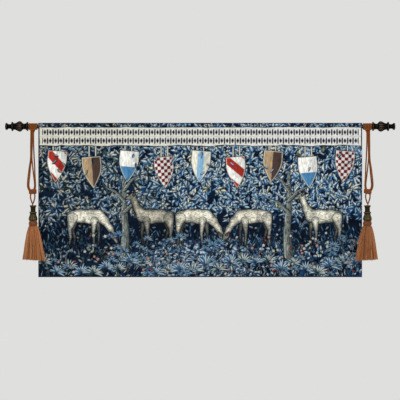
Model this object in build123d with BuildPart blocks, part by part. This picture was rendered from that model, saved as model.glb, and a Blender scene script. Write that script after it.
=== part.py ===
from build123d import *
from math import acos, atan2, cos, pi, radians, sin, tan
import os

os.makedirs("parts", exist_ok=True)

# ---------------------------------------------------------------- driving dimensions, mm
# The wall is the plane y = 0, the front faces -Y, and z = 0 is the height of the rod's axis.

FACE_W = 1450.0            # woven panel, hem to hem
FACE_H = 691.0
FACE_ABOVE = 15.5          # top edge over the rod's axis
FACE_T = 1.2               # woven cloth
HEM_T = 1.0                # cloth turned to the back round all four sides
HEM_W = 14.0
LINING_T = 1.0
LINING_GAP = 2.0           # lining cut this much inside the hem's inner edge
REST_GAP = 0.35            # rod to the back of the panel

ROD_D = 19.0
ROD_BORE = 16.0
ROD_GAP = 32.0             # rod axis to the wall
ROD_HALF = 770.5

SLEEVE_HALF = 680.0        # rod sleeve, short of the brackets
SLEEVE_T = 0.7
SLEEVE_CLEAR = 0.6         # rod to the inside of the cloth
SLEEVE_SEAM = 6.0          # height of the lower sewn edge
SLEEVE_TURN = 2.0          # height of the upper sewn edge
SLEEVE_TOP = 12.5          # upper seam's lower edge
SLEEVE_WRAP = -38.0        # degrees: where the cloth leaves the rod below

BRACKET_X = 705.0
BRACKET_W = 20.0
PLATE_T = 3.0
PLATE_TOP = 0.0
PLATE_H = 60.0
SCREW_PITCH = 44.0
SCREW_HOLE_D = 4.5
PLATE_CORNER = 5.0
CRADLE_T = 3.0
CRADLE_CLEAR = 0.3
CRADLE_LIP = 40.0          # degrees up the front of the rod
CRADLE_BACK = 5.0          # height of the cradle's back wall over the axis
ARM_T = 9.0
ARM_H = 9.0                # arm's root over the middle of the plate, and half of it below
ARM_NOSE = 3.5             # arm's end, in front of the rod's axis

INSERT_L = 20.0
STUD_D = 8.0
STUD_IN = 10.0             # thread held in the rod's insert
STUD_OUT = 16.0            # depth of the finial's bore
STUD_END_GAP = 0.2
STUD_CHAMFER = 0.8
THREAD_CLEAR = 0.1
TURN_CLEAR = 0.05
FINIAL_L = 102.2
FLUTES = 14
FLUTE_R = 3.2
FLUTE_OUT = 25.4           # flute centres from the finial's axis
FLUTE_FROM = 24.0
FLUTE_L = 34.0

TASSEL_X = 750.0           # hitch centre from the middle of the rod
CORD_D = 5.5
TURNS = 6
TURN_PITCH = 6.8
HITCH_CLEAR = 0.3
HITCH_CORNER = 3.0
BAR_Y = -52.0
BAR_Z = -14.0
KEEPER = (29.0, 15.0, 22.5)
KEEPER_AT = (1.0, -60.0, -292.3)
KEEPER_ROUND = 4.0

HEAD_IN = 2.2              # head axis, nearer the panel than the hitch
HEAD_Y = -66.5
HEAD_TOP = -353.3
HEAD_PIVOT = -349.0
HEAD_BOTTOM = -423.0
NECK_R = 4.3
KNOT_R = 8.0
KNOT_Z = -389.0
CAVITY_R = 9.5
CAVITY_TOP = -378.5
CORE_R = 9.0
CORE_TOP = -400.0
CORE_CHAMFER = 1.0
BINDING_R = 20.2
BINDING_IN = 16.0
BINDING_CROWN = 3.0        # how much it bulges
BINDING_TOP = -423.4
BINDING_BOTTOM = -445.6
SKIRT_IN = 4.8             # skirt centre, nearer the panel than the hitch
HEADING_GAP = 0.1

SIDES = (("left", -1.0), ("right", 1.0))

rod_r = ROD_D / 2
rod_y = -ROD_GAP
panel_back = rod_y - rod_r - REST_GAP
face_back = panel_back - HEM_T
face_mid_z = FACE_ABOVE - FACE_H / 2


def tangent_radii(points):
    """One radius for each corner: 0.45 of its shorter run over the tangent of half the turn."""
    vectors = [Vector(*p) for p in points]
    radii = []
    for before, corner, after in zip(vectors, vectors[1:], vectors[2:]):
        run_in = corner - before
        run_out = after - corner
        turn = radians(run_in.get_angle(run_out))
        radii.append(0.45 * min(run_in.length, run_out.length) / tan(turn / 2))
    return radii


def cord_path(points):
    radii = tangent_radii(points)
    with BuildLine() as path:
        FilletPolyline(*points, radius=radii)
    return path.wires()[0], radii


def at_side(s, route):
    """Route points given as (towards the panel, y, z) from the hitch's centre line."""
    return [(s * (TASSEL_X - inward), y, z) for inward, y, z in route]


# ---------------------------------------------------------------- woven face and lining

# The cloth's own edges are turned back all round, so the border is two layers thick.
with BuildPart() as woven_face:
    with BuildSketch(Plane.XZ.offset(-face_back)):
        with Locations((0, face_mid_z)):
            Rectangle(FACE_W, FACE_H)
    extrude(amount=FACE_T)
    with BuildSketch(Plane.XZ.offset(-face_back)):
        with Locations((0, face_mid_z)):
            Rectangle(FACE_W, FACE_H)
            Rectangle(FACE_W - 2 * HEM_W, FACE_H - 2 * HEM_W, mode=Mode.SUBTRACT)
    extrude(amount=-HEM_T)
woven_face.part.label = "woven_face"
export_step(woven_face.part, "parts/woven_face.step")

with BuildPart() as lining:
    with BuildSketch(Plane.XZ.offset(-face_back)):
        with Locations((0, face_mid_z)):
            Rectangle(FACE_W - 2 * (HEM_W + LINING_GAP), FACE_H - 2 * (HEM_W + LINING_GAP))
    extrude(amount=-LINING_T)
lining.part.label = "lining"
export_step(lining.part, "parts/lining.step")

# ---------------------------------------------------------------- rod sleeve

# A strip sewn to the lining along both long edges. It runs over the rod, round its back and
# slants down to the lower seam. The section is drawn about the rod's axis.
wrap_r = rod_r + SLEEVE_CLEAR
seam_y = face_back + LINING_T - rod_y
top_seam = (seam_y, SLEEVE_TOP)
seam_angle = atan2(SLEEVE_TOP, seam_y) - acos(wrap_r / (seam_y**2 + SLEEVE_TOP**2) ** 0.5)
leave_angle = radians(SLEEVE_WRAP)
mid_angle = (seam_angle + leave_angle) / 2


def on_wrap(angle):
    return (wrap_r * cos(angle), wrap_r * sin(angle))


leave = on_wrap(leave_angle)
run_down = (leave[0] - seam_y) / -sin(leave_angle)
low_seam = (seam_y, leave[1] - run_down * cos(leave_angle))


def sleeve_strip(name, path):
    """One length of the sleeve's section, through the points and arcs of path, along the rod."""
    with BuildPart() as strip:
        with BuildSketch(Plane(origin=(-SLEEVE_HALF, rod_y, 0), x_dir=(0, 1, 0), z_dir=(1, 0, 0))):
            with BuildLine():
                for run in path:
                    if len(run) == 3:
                        ThreePointArc(*run)
                    else:
                        Line(*run)
                offset(amount=SLEEVE_T, side=Side.LEFT)
            make_face()
        extrude(amount=2 * SLEEVE_HALF)
    strip.part.label = name
    export_step(strip.part, f"parts/{name}.step")


# The strip is in three lengths, so that the channel for the rod stays open between them.
over = on_wrap(mid_angle)
sleeve_strip("sleeve_top", (
    ((seam_y, SLEEVE_TOP + SLEEVE_TURN), top_seam),
    (top_seam, on_wrap(seam_angle)),
    (on_wrap(seam_angle), on_wrap((seam_angle + mid_angle) / 2), over),
))
sleeve_strip("sleeve_back", ((over, on_wrap((mid_angle + leave_angle) / 2), leave),))
sleeve_strip("sleeve_foot", (
    (leave, low_seam),
    (low_seam, (seam_y, low_seam[1] - SLEEVE_SEAM)),
))

# ---------------------------------------------------------------- rod

with BuildPart() as rod:
    with BuildSketch(Plane(origin=(-ROD_HALF, rod_y, 0), x_dir=(0, 1, 0), z_dir=(1, 0, 0))):
        Circle(rod_r)
        Circle(ROD_BORE / 2, mode=Mode.SUBTRACT)
    extrude(amount=2 * ROD_HALF)
rod.part.label = "rod"
export_step(rod.part, "parts/rod.step")

# ---------------------------------------------------------------- wall brackets

# Plate with two screw holes, a forged arm and a J cradle open at the top.
cradle_in = rod_r + CRADLE_CLEAR
cradle_out = cradle_in + CRADLE_T
lip = radians(-90 - CRADLE_LIP)
plate_mid = PLATE_TOP - PLATE_H / 2
arm_outline = (
    (-PLATE_T, plate_mid + ARM_H / 2),
    (rod_y + cradle_out - 4.0, -cradle_in + 2.0),
    (rod_y, -cradle_out + 1.0),
    (rod_y - ARM_NOSE, -cradle_out + 1.2),
    (rod_y - ARM_NOSE + 1.5, -cradle_out - 5.0),
    (-PLATE_T, plate_mid - ARM_H),
)


def about_rod(radius, angle):
    return (rod_y + radius * cos(angle), radius * sin(angle))


for side, s in SIDES:
    with BuildPart() as bracket:
        with BuildSketch(Plane.XZ):
            with Locations((s * BRACKET_X, plate_mid)):
                RectangleRounded(BRACKET_W, PLATE_H, PLATE_CORNER)
                with Locations((0, SCREW_PITCH / 2), (0, -SCREW_PITCH / 2)):
                    Circle(SCREW_HOLE_D / 2, mode=Mode.SUBTRACT)
        extrude(amount=PLATE_T)
        with BuildSketch(Plane.YZ.offset(s * BRACKET_X - ARM_T / 2)):
            with BuildLine():
                Polyline(*arm_outline, close=True)
            make_face()
        extrude(amount=ARM_T)
        with BuildSketch(Plane.YZ.offset(s * BRACKET_X - BRACKET_W / 2)):
            with BuildLine():
                Line((rod_y + cradle_in, CRADLE_BACK), (rod_y + cradle_in, 0))
                ThreePointArc(*(about_rod(cradle_in, angle) for angle in (0, lip / 2, lip)))
                Line(about_rod(cradle_in, lip), about_rod(cradle_out, lip))
                ThreePointArc(*(about_rod(cradle_out, angle) for angle in (lip, lip / 2, 0)))
                Line((rod_y + cradle_out, 0), (rod_y + cradle_out, CRADLE_BACK))
                Line((rod_y + cradle_out, CRADLE_BACK), (rod_y + cradle_in, CRADLE_BACK))
            make_face()
        extrude(amount=BRACKET_W)
    bracket.part.label = f"{side}_bracket"
    export_step(bracket.part, f"parts/{side}_bracket.step")

# ---------------------------------------------------------------- finials

# Half section of the casting from its inner end to the tip: collar, trumpet flange, neck,
# fluted bulb, flared ring, waist and end button. Each entry is (distance out, radius).
BORE_R = STUD_D / 2 + TURN_CLEAR
COLLAR = ((0.0, BORE_R), (0.0, 11.0), (1.6, 11.0), (2.2, 19.4))
FLANGE_LIP = ((2.2, 19.4), (3.4, 20.4), (5.2, 19.6))
TRUMPET = ((5.2, 19.6), (7.6, 15.6), (11.0, 13.8))
NECK = ((11.0, 13.8), (18.5, 12.9), (26.0, 14.0))
BULB = ((26.0, 14.0), (31.0, 20.8), (38.7, 23.7), (47.0, 21.4), (55.0, 16.8), (62.5, 14.4))
CUP = ((62.5, 14.4), (67.5, 15.6), (70.4, 19.6))
CUP_LIP = ((70.4, 19.6), (71.6, 20.0), (72.6, 19.2))
WAIST_IN = ((72.6, 19.2), (74.2, 13.4), (78.0, 10.6))
WAIST = ((78.0, 10.6), (84.5, 9.9), (91.0, 10.8))
BUTTON = ((91.0, 10.8), (93.4, 14.8), (96.6, 15.6), (99.8, 14.4), (101.7, 9.0), (FINIAL_L, 0.0))
CURVES = (FLANGE_LIP, TRUMPET, NECK, BULB, CUP, CUP_LIP, WAIST_IN, WAIST, BUTTON)

for side, s in SIDES:
    end = s * ROD_HALF
    axis_out = Plane(origin=(end, rod_y, 0), x_dir=(s, 0, 0), z_dir=(0, -s, 0))
    across = Plane(origin=(end, rod_y, 0), x_dir=(0, 1, 0), z_dir=(s, 0, 0))

    with BuildPart() as finial:
        with BuildSketch(axis_out):
            with BuildLine():
                Polyline(*COLLAR)
                for curve in CURVES:
                    Spline(*curve)
                Polyline((FINIAL_L, 0), (STUD_OUT, 0), (STUD_OUT, BORE_R), (0, BORE_R))
            make_face()
        revolve(axis=Axis((end, rod_y, 0), (s, 0, 0)))
        with BuildSketch(across.offset(FLUTE_FROM)):
            with PolarLocations(FLUTE_OUT, FLUTES):
                Circle(FLUTE_R)
        extrude(amount=FLUTE_L, mode=Mode.SUBTRACT)
    finial.part.label = f"{side}_finial"
    export_step(finial.part, f"parts/{side}_finial.step")

    with BuildPart() as stud:
        with BuildSketch(across.offset(-STUD_IN)):
            Circle(STUD_D / 2)
        extrude(amount=STUD_IN + STUD_OUT - STUD_END_GAP)
        chamfer(stud.edges().filter_by(GeomType.CIRCLE), STUD_CHAMFER)
    stud.part.label = f"{side}_finial_stud"
    export_step(stud.part, f"parts/{side}_finial_stud.step")

    with BuildPart() as insert:
        with BuildSketch(across.offset(-INSERT_L)):
            Circle(ROD_BORE / 2)
            Circle(STUD_D / 2 + THREAD_CLEAR, mode=Mode.SUBTRACT)
        extrude(amount=INSERT_L)
    insert.part.label = f"{side}_rod_insert"
    export_step(insert.part, f"parts/{side}_rod_insert.step")

# ---------------------------------------------------------------- tassel cords

# Four strands hang from the hitch, three seen side by side and one behind. Half way down they
# part into two pairs, spread round a long drop-shaped gap and close again into the keeper.
STRANDS = {
    "strand_a": [
        (-7.3, -49.5, -31.0), (-7.5, -51.4, -80.0), (-7.5, -53.8, -148.0), (-14.8, -55.8, -184.5),
        (-17.6, -57.4, -214.0), (-21.6, -59.8, -252.0), (-20.2, -61.2, -279.0), (-11.0, -61.6, -291.0),
    ],
    "strand_b": [
        (-4.4, -44.5, -31.0), (-4.3, -46.4, -80.0), (-4.0, -48.5, -140.0), (-8.6, -51.6, -184.5),
        (-11.4, -55.2, -216.0), (-15.4, -57.2, -252.0), (-14.6, -57.8, -274.0), (-7.6, -58.2, -287.0),
    ],
    "strand_c": [
        (-1.5, -49.5, -31.0), (-1.2, -51.6, -80.0), (-1.6, -54.0, -148.0), (1.8, -55.8, -180.0),
        (5.8, -57.0, -214.0), (10.5, -57.4, -250.0), (11.2, -57.8, -272.0), (5.4, -58.0, -286.0),
    ],
    "strand_d": [
        (4.2, -49.5, -31.0), (6.0, -51.5, -80.0), (9.8, -53.6, -148.0), (11.3, -55.8, -182.0),
        (12.0, -57.4, -214.0), (14.9, -61.2, -250.0), (15.2, -62.2, -272.0), (11.0, -61.4, -288.0),
    ],
}

# One cord makes the small loop that carries the head: out of the keeper on one side, down
# to the head, and back up on the other side.
LOOP_LEGS = {
    "loop_leg_a": [(-4.0, -60.3, -297.0), (-8.4, -61.0, -308.0), (-7.6, -62.4, -322.0),
                   (-3.0, -64.2, -335.0), (-0.6, -65.0, -343.6)],
    "loop_leg_b": [(7.0, -60.3, -297.0), (12.2, -61.0, -308.0), (11.4, -62.4, -322.0),
                   (7.6, -64.2, -335.0), (5.2, -65.0, -343.6)],
}

# The cord's turns round the rod draw together under it. Each entry is a level section of the
# funnel: height, shift away from the panel, depth in y, width, thickness.
FUNNEL = (
    (-9.0, 0.0, -46.0, 36.8, 8.0),
    (-17.0, 0.8, -47.0, 32.0, 10.0),
    (-27.3, 1.5, -47.0, 18.0, 11.0),
)
turns_half = (TURNS - 1) / 2 * TURN_PITCH

for side, s in SIDES:
    with BuildPart() as hitch:
        for turn in range(TURNS):
            turn_x = s * TASSEL_X + turn * TURN_PITCH - turns_half
            with BuildSketch(Plane(origin=(turn_x, rod_y, 0), x_dir=(1, 0, 0), z_dir=(0, -1, 0))):
                with Locations((0, rod_r + HITCH_CLEAR + CORD_D / 2)):
                    Circle(CORD_D / 2)
            revolve(axis=Axis((0, rod_y, 0), (1, 0, 0)))
        for height, outward, y, width, depth in FUNNEL:
            with BuildSketch(Plane.XY.offset(height)):
                with Locations((s * (TASSEL_X + outward), y)):
                    RectangleRounded(width, depth, HITCH_CORNER)
        loft(ruled=True)
        with BuildSketch(Plane.YZ.offset(s * TASSEL_X - turns_half)):
            with Locations((BAR_Y, BAR_Z)):
                Circle(CORD_D / 2)
        extrude(amount=2 * turns_half)
    hitch.part.label = f"{side}_hitch"
    export_step(hitch.part, f"parts/{side}_hitch.step")

    for name, route in (STRANDS | LOOP_LEGS).items():
        path, radii = cord_path(at_side(s, route))
        with BuildPart() as cord:
            with BuildSketch(Plane(origin=path @ 0, z_dir=path % 0)):
                Circle(CORD_D / 2)
            sweep(path=path)
        swept = cord.part.volume / (pi * CORD_D**2 / 4 * path.length)
        print(f"{side}_{name}: length {path.length:.1f}, volume ratio {swept:.4f}, radii",
              [round(r) for r in radii])
        cord.part.label = f"{side}_{name}"
        export_step(cord.part, f"parts/{side}_{name}.step")

    with BuildPart() as keeper:
        keeper_x = s * (TASSEL_X - KEEPER_AT[0])
        with BuildSketch(Plane.XY.offset(KEEPER_AT[2] - KEEPER[2] / 2)):
            with Locations((keeper_x, KEEPER_AT[1])):
                RectangleRounded(KEEPER[0], KEEPER[1], KEEPER[1] / 2 - 0.5)
        extrude(amount=KEEPER[2])
        fillet(keeper.faces().sort_by(Axis.Z)[-1].edges(), KEEPER_ROUND)
        fillet(keeper.faces().sort_by(Axis.Z)[0].edges(), KEEPER_ROUND)
    keeper.part.label = f"{side}_keeper_knot"
    export_step(keeper.part, f"parts/{side}_keeper_knot.step")

# ---------------------------------------------------------------- tassel head and skirt

# Half section of the hollow head casting, as (radius, height): rim, neck, ring, body, flare.
HEAD_OUTLINE = (
    ((12.0, -353.3), (13.3, -355.4), (12.9, -359.2)),
    ((12.9, -359.2), (10.9, -364.0), (10.2, -372.0), (11.2, -380.0), (12.4, -384.4)),
    ((12.4, -384.4), (15.8, -386.2), (16.1, -388.8), (15.6, -391.6), (12.8, -393.0)),
    ((12.8, -393.0), (12.9, -399.0), (15.2, -404.0), (19.8, -408.4)),
    ((19.8, -408.4), (20.5, -413.0), (20.0, -417.6), (17.8, -419.4)),
)

head_hole = NECK_R + 0.2

# Cross sections of the skirt: (height, half width, half depth). The back is kept in one plane.
SKIRT_BACK = -45.0
SKIRT = (
    (-445.8, 24.5, 20.5),
    (-482.0, 33.0, 25.0),
    (-527.0, 39.5, 29.0),
    (-560.0, 44.6, 31.5),
    (-597.3, 51.8, 33.5),
)

for side, s in SIDES:
    head_x = s * (TASSEL_X - HEAD_IN)
    head_axis = Axis((head_x, HEAD_Y, 0), (0, 0, 1))
    head_section = Plane(origin=(head_x, HEAD_Y, 0), x_dir=(1, 0, 0), z_dir=(0, -1, 0))

    with BuildPart() as head:
        with BuildSketch(head_section):
            with BuildLine():
                Line((head_hole, HEAD_TOP), HEAD_OUTLINE[0][0])
                for curve in HEAD_OUTLINE:
                    Spline(*curve)
                Polyline(HEAD_OUTLINE[-1][-1], (HEAD_OUTLINE[-1][-1][0], HEAD_BOTTOM),
                         (CAVITY_R, HEAD_BOTTOM), (CAVITY_R, CAVITY_TOP), (head_hole, CAVITY_TOP),
                         (head_hole, HEAD_TOP))
            make_face()
        revolve(axis=head_axis)
    head.part.label = f"{side}_tassel_head"
    export_step(head.part, f"parts/{side}_tassel_head.step")

    with BuildPart() as neck_cord:
        with Locations((head_x, HEAD_Y, HEAD_PIVOT)):
            Sphere(NECK_R)
        with Locations((head_x, HEAD_Y, KNOT_Z)):
            Sphere(KNOT_R)
        with BuildSketch(Plane.XY.offset(KNOT_Z)):
            with Locations((head_x, HEAD_Y)):
                Circle(NECK_R)
        extrude(amount=HEAD_PIVOT - KNOT_Z)
    neck_cord.part.label = f"{side}_neck_cord"
    export_step(neck_cord.part, f"parts/{side}_neck_cord.step")

    with BuildPart() as core:
        with BuildSketch(Plane.XY.offset(BINDING_BOTTOM)):
            with Locations((head_x, HEAD_Y)):
                Circle(CORE_R)
        extrude(amount=CORE_TOP - BINDING_BOTTOM)
        chamfer(core.edges().filter_by(GeomType.CIRCLE), CORE_CHAMFER)
    core.part.label = f"{side}_skirt_core"
    export_step(core.part, f"parts/{side}_skirt_core.step")

    with BuildPart() as binding:
        with BuildSketch(head_section):
            with BuildLine():
                outer = ThreePointArc((BINDING_R - BINDING_CROWN, BINDING_TOP),
                                      (BINDING_R, (BINDING_TOP + BINDING_BOTTOM) / 2),
                                      (BINDING_R - BINDING_CROWN, BINDING_BOTTOM))
                Polyline(outer @ 1, (BINDING_IN, BINDING_BOTTOM), (BINDING_IN, BINDING_TOP), outer @ 0)
            make_face()
        revolve(axis=head_axis)
    binding.part.label = f"{side}_binding"
    export_step(binding.part, f"parts/{side}_binding.step")

    # The fringe's bound heading fills the space between the core and the binding.
    with BuildPart() as skirt:
        for height, half_width, half_depth in SKIRT:
            with BuildSketch(Plane.XY.offset(height)):
                with Locations((s * (TASSEL_X - SKIRT_IN), SKIRT_BACK - half_depth)):
                    Ellipse(half_width, half_depth)
        loft()
        with BuildSketch(Plane.XY.offset(SKIRT[0][0])):
            with Locations((head_x, HEAD_Y)):
                Circle(BINDING_IN - HEADING_GAP)
                Circle(CORE_R + HEADING_GAP, mode=Mode.SUBTRACT)
        extrude(amount=BINDING_TOP - SKIRT[0][0])
    skirt.part.label = f"{side}_skirt"
    export_step(skirt.part, f"parts/{side}_skirt.step")
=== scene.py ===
import math
import bpy
import numpy as np
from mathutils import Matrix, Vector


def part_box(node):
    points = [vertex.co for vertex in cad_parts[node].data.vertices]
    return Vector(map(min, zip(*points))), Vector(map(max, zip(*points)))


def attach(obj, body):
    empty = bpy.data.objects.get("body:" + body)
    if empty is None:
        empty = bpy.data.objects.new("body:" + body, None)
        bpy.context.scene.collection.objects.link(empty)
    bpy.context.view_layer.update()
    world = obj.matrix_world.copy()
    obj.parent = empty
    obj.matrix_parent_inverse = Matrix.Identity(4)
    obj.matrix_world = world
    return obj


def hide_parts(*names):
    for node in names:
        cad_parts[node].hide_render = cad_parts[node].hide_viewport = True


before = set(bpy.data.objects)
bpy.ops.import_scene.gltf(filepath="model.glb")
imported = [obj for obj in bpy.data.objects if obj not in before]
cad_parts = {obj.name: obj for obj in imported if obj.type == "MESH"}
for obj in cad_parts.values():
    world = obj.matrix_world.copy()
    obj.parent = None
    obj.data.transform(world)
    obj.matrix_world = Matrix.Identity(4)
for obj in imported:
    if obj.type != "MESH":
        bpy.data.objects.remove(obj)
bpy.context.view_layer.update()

# The row frame, in metres: the wall is the plane y = 0, the front faces -Y, z = 0 is the rod's axis.
MM = 0.001
SIDES = (("left", -1.0), ("right", 1.0))
rng = np.random.default_rng(11)

rod_low, rod_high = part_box("rod")
ROD_R = (rod_high.z - rod_low.z) / 2
ROD_Y = (rod_low.y + rod_high.y) / 2
ROD_END = rod_high.x
face_low, face_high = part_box("woven_face")
lining_low, lining_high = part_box("lining")
sleeve_low, sleeve_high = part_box("sleeve_foot")[0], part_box("sleeve_top")[1]
FACE_W = face_high.x - face_low.x
FACE_H = face_high.z - face_low.z


# ---------------------------------------------------------------- mesh building

def new_object(name, points, faces, material, body, slot, **values):
    """A mesh piece that rides on a body. values are its attributes: a number or a colour for each point."""
    mesh = bpy.data.meshes.new(name)
    mesh.from_pydata(np.asarray(points, float).tolist(), [], [list(f) for f in faces])
    mesh.update()
    mesh.shade_smooth()
    for key, value in values.items():
        value = np.asarray(value, np.float32)
        if value.ndim == 1:
            mesh.attributes.new(key, "FLOAT", "POINT").data.foreach_set("value", value)
        else:
            mesh.attributes.new(key, "FLOAT_COLOR", "POINT").data.foreach_set("color", value.ravel())
    mesh.materials.append(material)
    obj = bpy.data.objects.new(name, mesh)
    bpy.context.scene.collection.objects.link(obj)
    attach(obj, body)
    return obj


class Bundle:
    """Several closed forms gathered into one mesh, with their attributes."""

    def __init__(self):
        self.points, self.faces, self.values, self.count = [], [], {}, 0

    def add(self, points, faces, **values):
        self.points.append(points)
        self.faces.extend([i + self.count for i in f] for f in faces)
        for key, value in values.items():
            self.values.setdefault(key, []).append(np.broadcast_to(np.asarray(value, float), len(points)))
        self.count += len(points)

    def add_rope(self, *route, tint, **shape):
        points, faces, crown = rope(*route, **shape)
        self.add(points, faces, crown=crown, tint=tint)

    def build(self, name, material, body, slot):
        values = {key: np.concatenate(value) for key, value in self.values.items()}
        return new_object(name, np.concatenate(self.points), self.faces, material, body, slot, **values)


def ring_faces(rings, sides, closed=False):
    """Quads between rings of points. An open tube's ends are fans to two last points, first end first."""
    faces = []
    for i in range(rings if closed else rings - 1):
        a, b = i * sides, (i + 1) % rings * sides
        faces += [(a + j, a + (j + 1) % sides, b + (j + 1) % sides, b + j) for j in range(sides)]
    if not closed:
        first, last = rings * sides, rings * sides + 1
        top = (rings - 1) * sides
        faces += [(first, (j + 1) % sides, j) for j in range(sides)]
        faces += [(last, top + j, top + (j + 1) % sides) for j in range(sides)]
    return faces


def even_line(points, step):
    """The same line with points about step apart, and the distance along it to each."""
    points = np.asarray(points, float)
    along = np.concatenate([[0], np.cumsum(np.linalg.norm(np.diff(points, axis=0), axis=1))])
    count = max(4, int(round(along[-1] / step)) + 1)
    at = np.linspace(0, along[-1], count)
    return np.stack([np.interp(at, along, points[:, k]) for k in range(3)], 1), at


def turning_frames(line):
    """Two unit vectors across the line at each point, turned as little as possible, and its tangent."""
    tangent = np.gradient(line, axis=0)
    tangent /= np.linalg.norm(tangent, axis=1)[:, None]
    start = np.cross(tangent[0], (0, 0, 1) if abs(tangent[0][2]) < 0.9 else (0, 1, 0))
    across = [start / np.linalg.norm(start)]
    for t in tangent[1:]:
        v = across[-1] - t * (across[-1] @ t)
        across.append(v / np.linalg.norm(v))
    across = np.array(across)
    return across, np.cross(tangent, across), tangent


ROPE_STEP = 0.0011          # between a cord's rings of points
ROPE_DOME = 0.12            # how far its rounded ends stand out, in diameters


def rope(line, diameter, pitch, plies=3, columns=6, step=ROPE_STEP, twist=0.0, fat=0.55, taper=None):
    """A laid rope along a line, its plies lobes that wind round it. crown is 1 on a ply and 0 between two."""
    line, at = even_line(line, step)
    across, over, tangent = turning_frames(line)
    psi = (np.arange(columns) / columns - 0.5) * 2 * math.pi / plies
    out = diameter / 2 * (1 - fat)
    ply_r = diameter / 2 * fat
    lobe = out * np.cos(psi) + np.sqrt(np.maximum(ply_r**2 - (out * np.sin(psi)) ** 2, 0))
    crown = 1 - np.abs(psi) / (math.pi / plies)
    lobe, psi, crown = (np.tile(values, plies) for values in (lobe, psi, crown))
    around = np.repeat(np.arange(plies), columns) * 2 * math.pi / plies + psi
    angle = (around[None] + (twist + 2 * math.pi * at / pitch)[:, None])[..., None]
    wide = np.ones(len(at)) if taper is None else np.interp(at / at[-1], *taper)
    r = (lobe[None] * wide[:, None])[..., None]
    points = line[:, None] + across[:, None] * np.cos(angle) * r + over[:, None] * np.sin(angle) * r
    dome = diameter * ROPE_DOME
    points = np.vstack([points.reshape(-1, 3), line[0] - tangent[0] * dome, line[-1] + tangent[-1] * dome])
    crown = np.append(np.tile(crown, len(at)), (0.6, 0.6))
    return points, ring_faces(len(at), plies * columns), crown


def spline_line(points):
    """Points read from the smooth line that has these as its control points."""
    curve = bpy.data.curves.new("route", "CURVE")
    curve.dimensions = "3D"
    spline = curve.splines.new("NURBS")
    spline.points.add(len(points) - 1)
    for point, co in zip(spline.points, points):
        point.co = (*co, 1.0)
    spline.order_u = 3
    spline.use_endpoint_u = True
    spline.resolution_u = 12
    obj = bpy.data.objects.new("route", curve)
    mesh = bpy.data.meshes.new_from_object(obj)
    line = np.array([v.co for v in mesh.vertices], float)
    bpy.data.objects.remove(obj)
    bpy.data.curves.remove(curve)
    bpy.data.meshes.remove(mesh)
    return line


def smooth_profile(points, step):
    """A curve through given outline points: centripetal Catmull-Rom spans, sampled step apart."""
    p = np.asarray(points, float)
    p = np.vstack([2 * p[0] - p[1], p, 2 * p[-1] - p[-2]])
    out = []
    for a, b, c, d in zip(p, p[1:], p[2:], p[3:]):
        t0 = 0.0
        t1 = t0 + max(np.linalg.norm(b - a), 1e-9) ** 0.5
        t2 = t1 + max(np.linalg.norm(c - b), 1e-9) ** 0.5
        t3 = t2 + max(np.linalg.norm(d - c), 1e-9) ** 0.5
        count = max(1, int(math.ceil(np.linalg.norm(c - b) / step)))
        for t in np.linspace(t1, t2, count, endpoint=False):
            ab = (t1 - t) / (t1 - t0) * a + (t - t0) / (t1 - t0) * b
            bc = (t2 - t) / (t2 - t1) * b + (t - t1) / (t2 - t1) * c
            cd = (t3 - t) / (t3 - t2) * c + (t - t2) / (t3 - t2) * d
            abc = (t2 - t) / (t2 - t0) * ab + (t - t0) / (t2 - t0) * bc
            bcd = (t3 - t) / (t3 - t1) * bc + (t - t1) / (t3 - t1) * cd
            out.append((t2 - t) / (t2 - t1) * abc + (t - t1) / (t2 - t1) * bcd)
    out.append(p[-2])
    return np.array(out)


def lathe(profile, centre, axis, across, segments, shape=None):
    """A turned form. profile is a closed loop of (distance along the axis, radius).

    shape(distance, radius, angle) gives a carved radius."""
    centre, axis, across = (np.asarray(v, float) for v in (centre, axis, across))
    third = np.cross(axis, across)
    u, r = np.asarray(profile, float).T
    angle = np.arange(segments) * 2 * math.pi / segments
    radius = np.repeat(r[:, None], segments, 1)
    if shape is not None:
        radius = shape(u[:, None], radius, angle[None])
    points = centre + axis * np.repeat(u[:, None], segments, 1)[..., None] + radius[..., None] * (
        across * np.cos(angle)[None, :, None] + third * np.sin(angle)[None, :, None])
    return points.reshape(-1, 3), ring_faces(len(u), segments, closed=True)


# ---------------------------------------------------------------- materials

def linear(r, g, b):
    """An sRGB colour, 0 to 255, as the shader's linear values; r, g and b may be arrays."""
    c = np.clip(np.stack([r, g, b], -1) / 255, 0, 1)
    c = np.where(c <= 0.04045, c / 12.92, ((c + 0.055) / 1.055) ** 2.4)
    return np.concatenate([c, np.ones(c.shape[:-1] + (1,))], -1)


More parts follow.
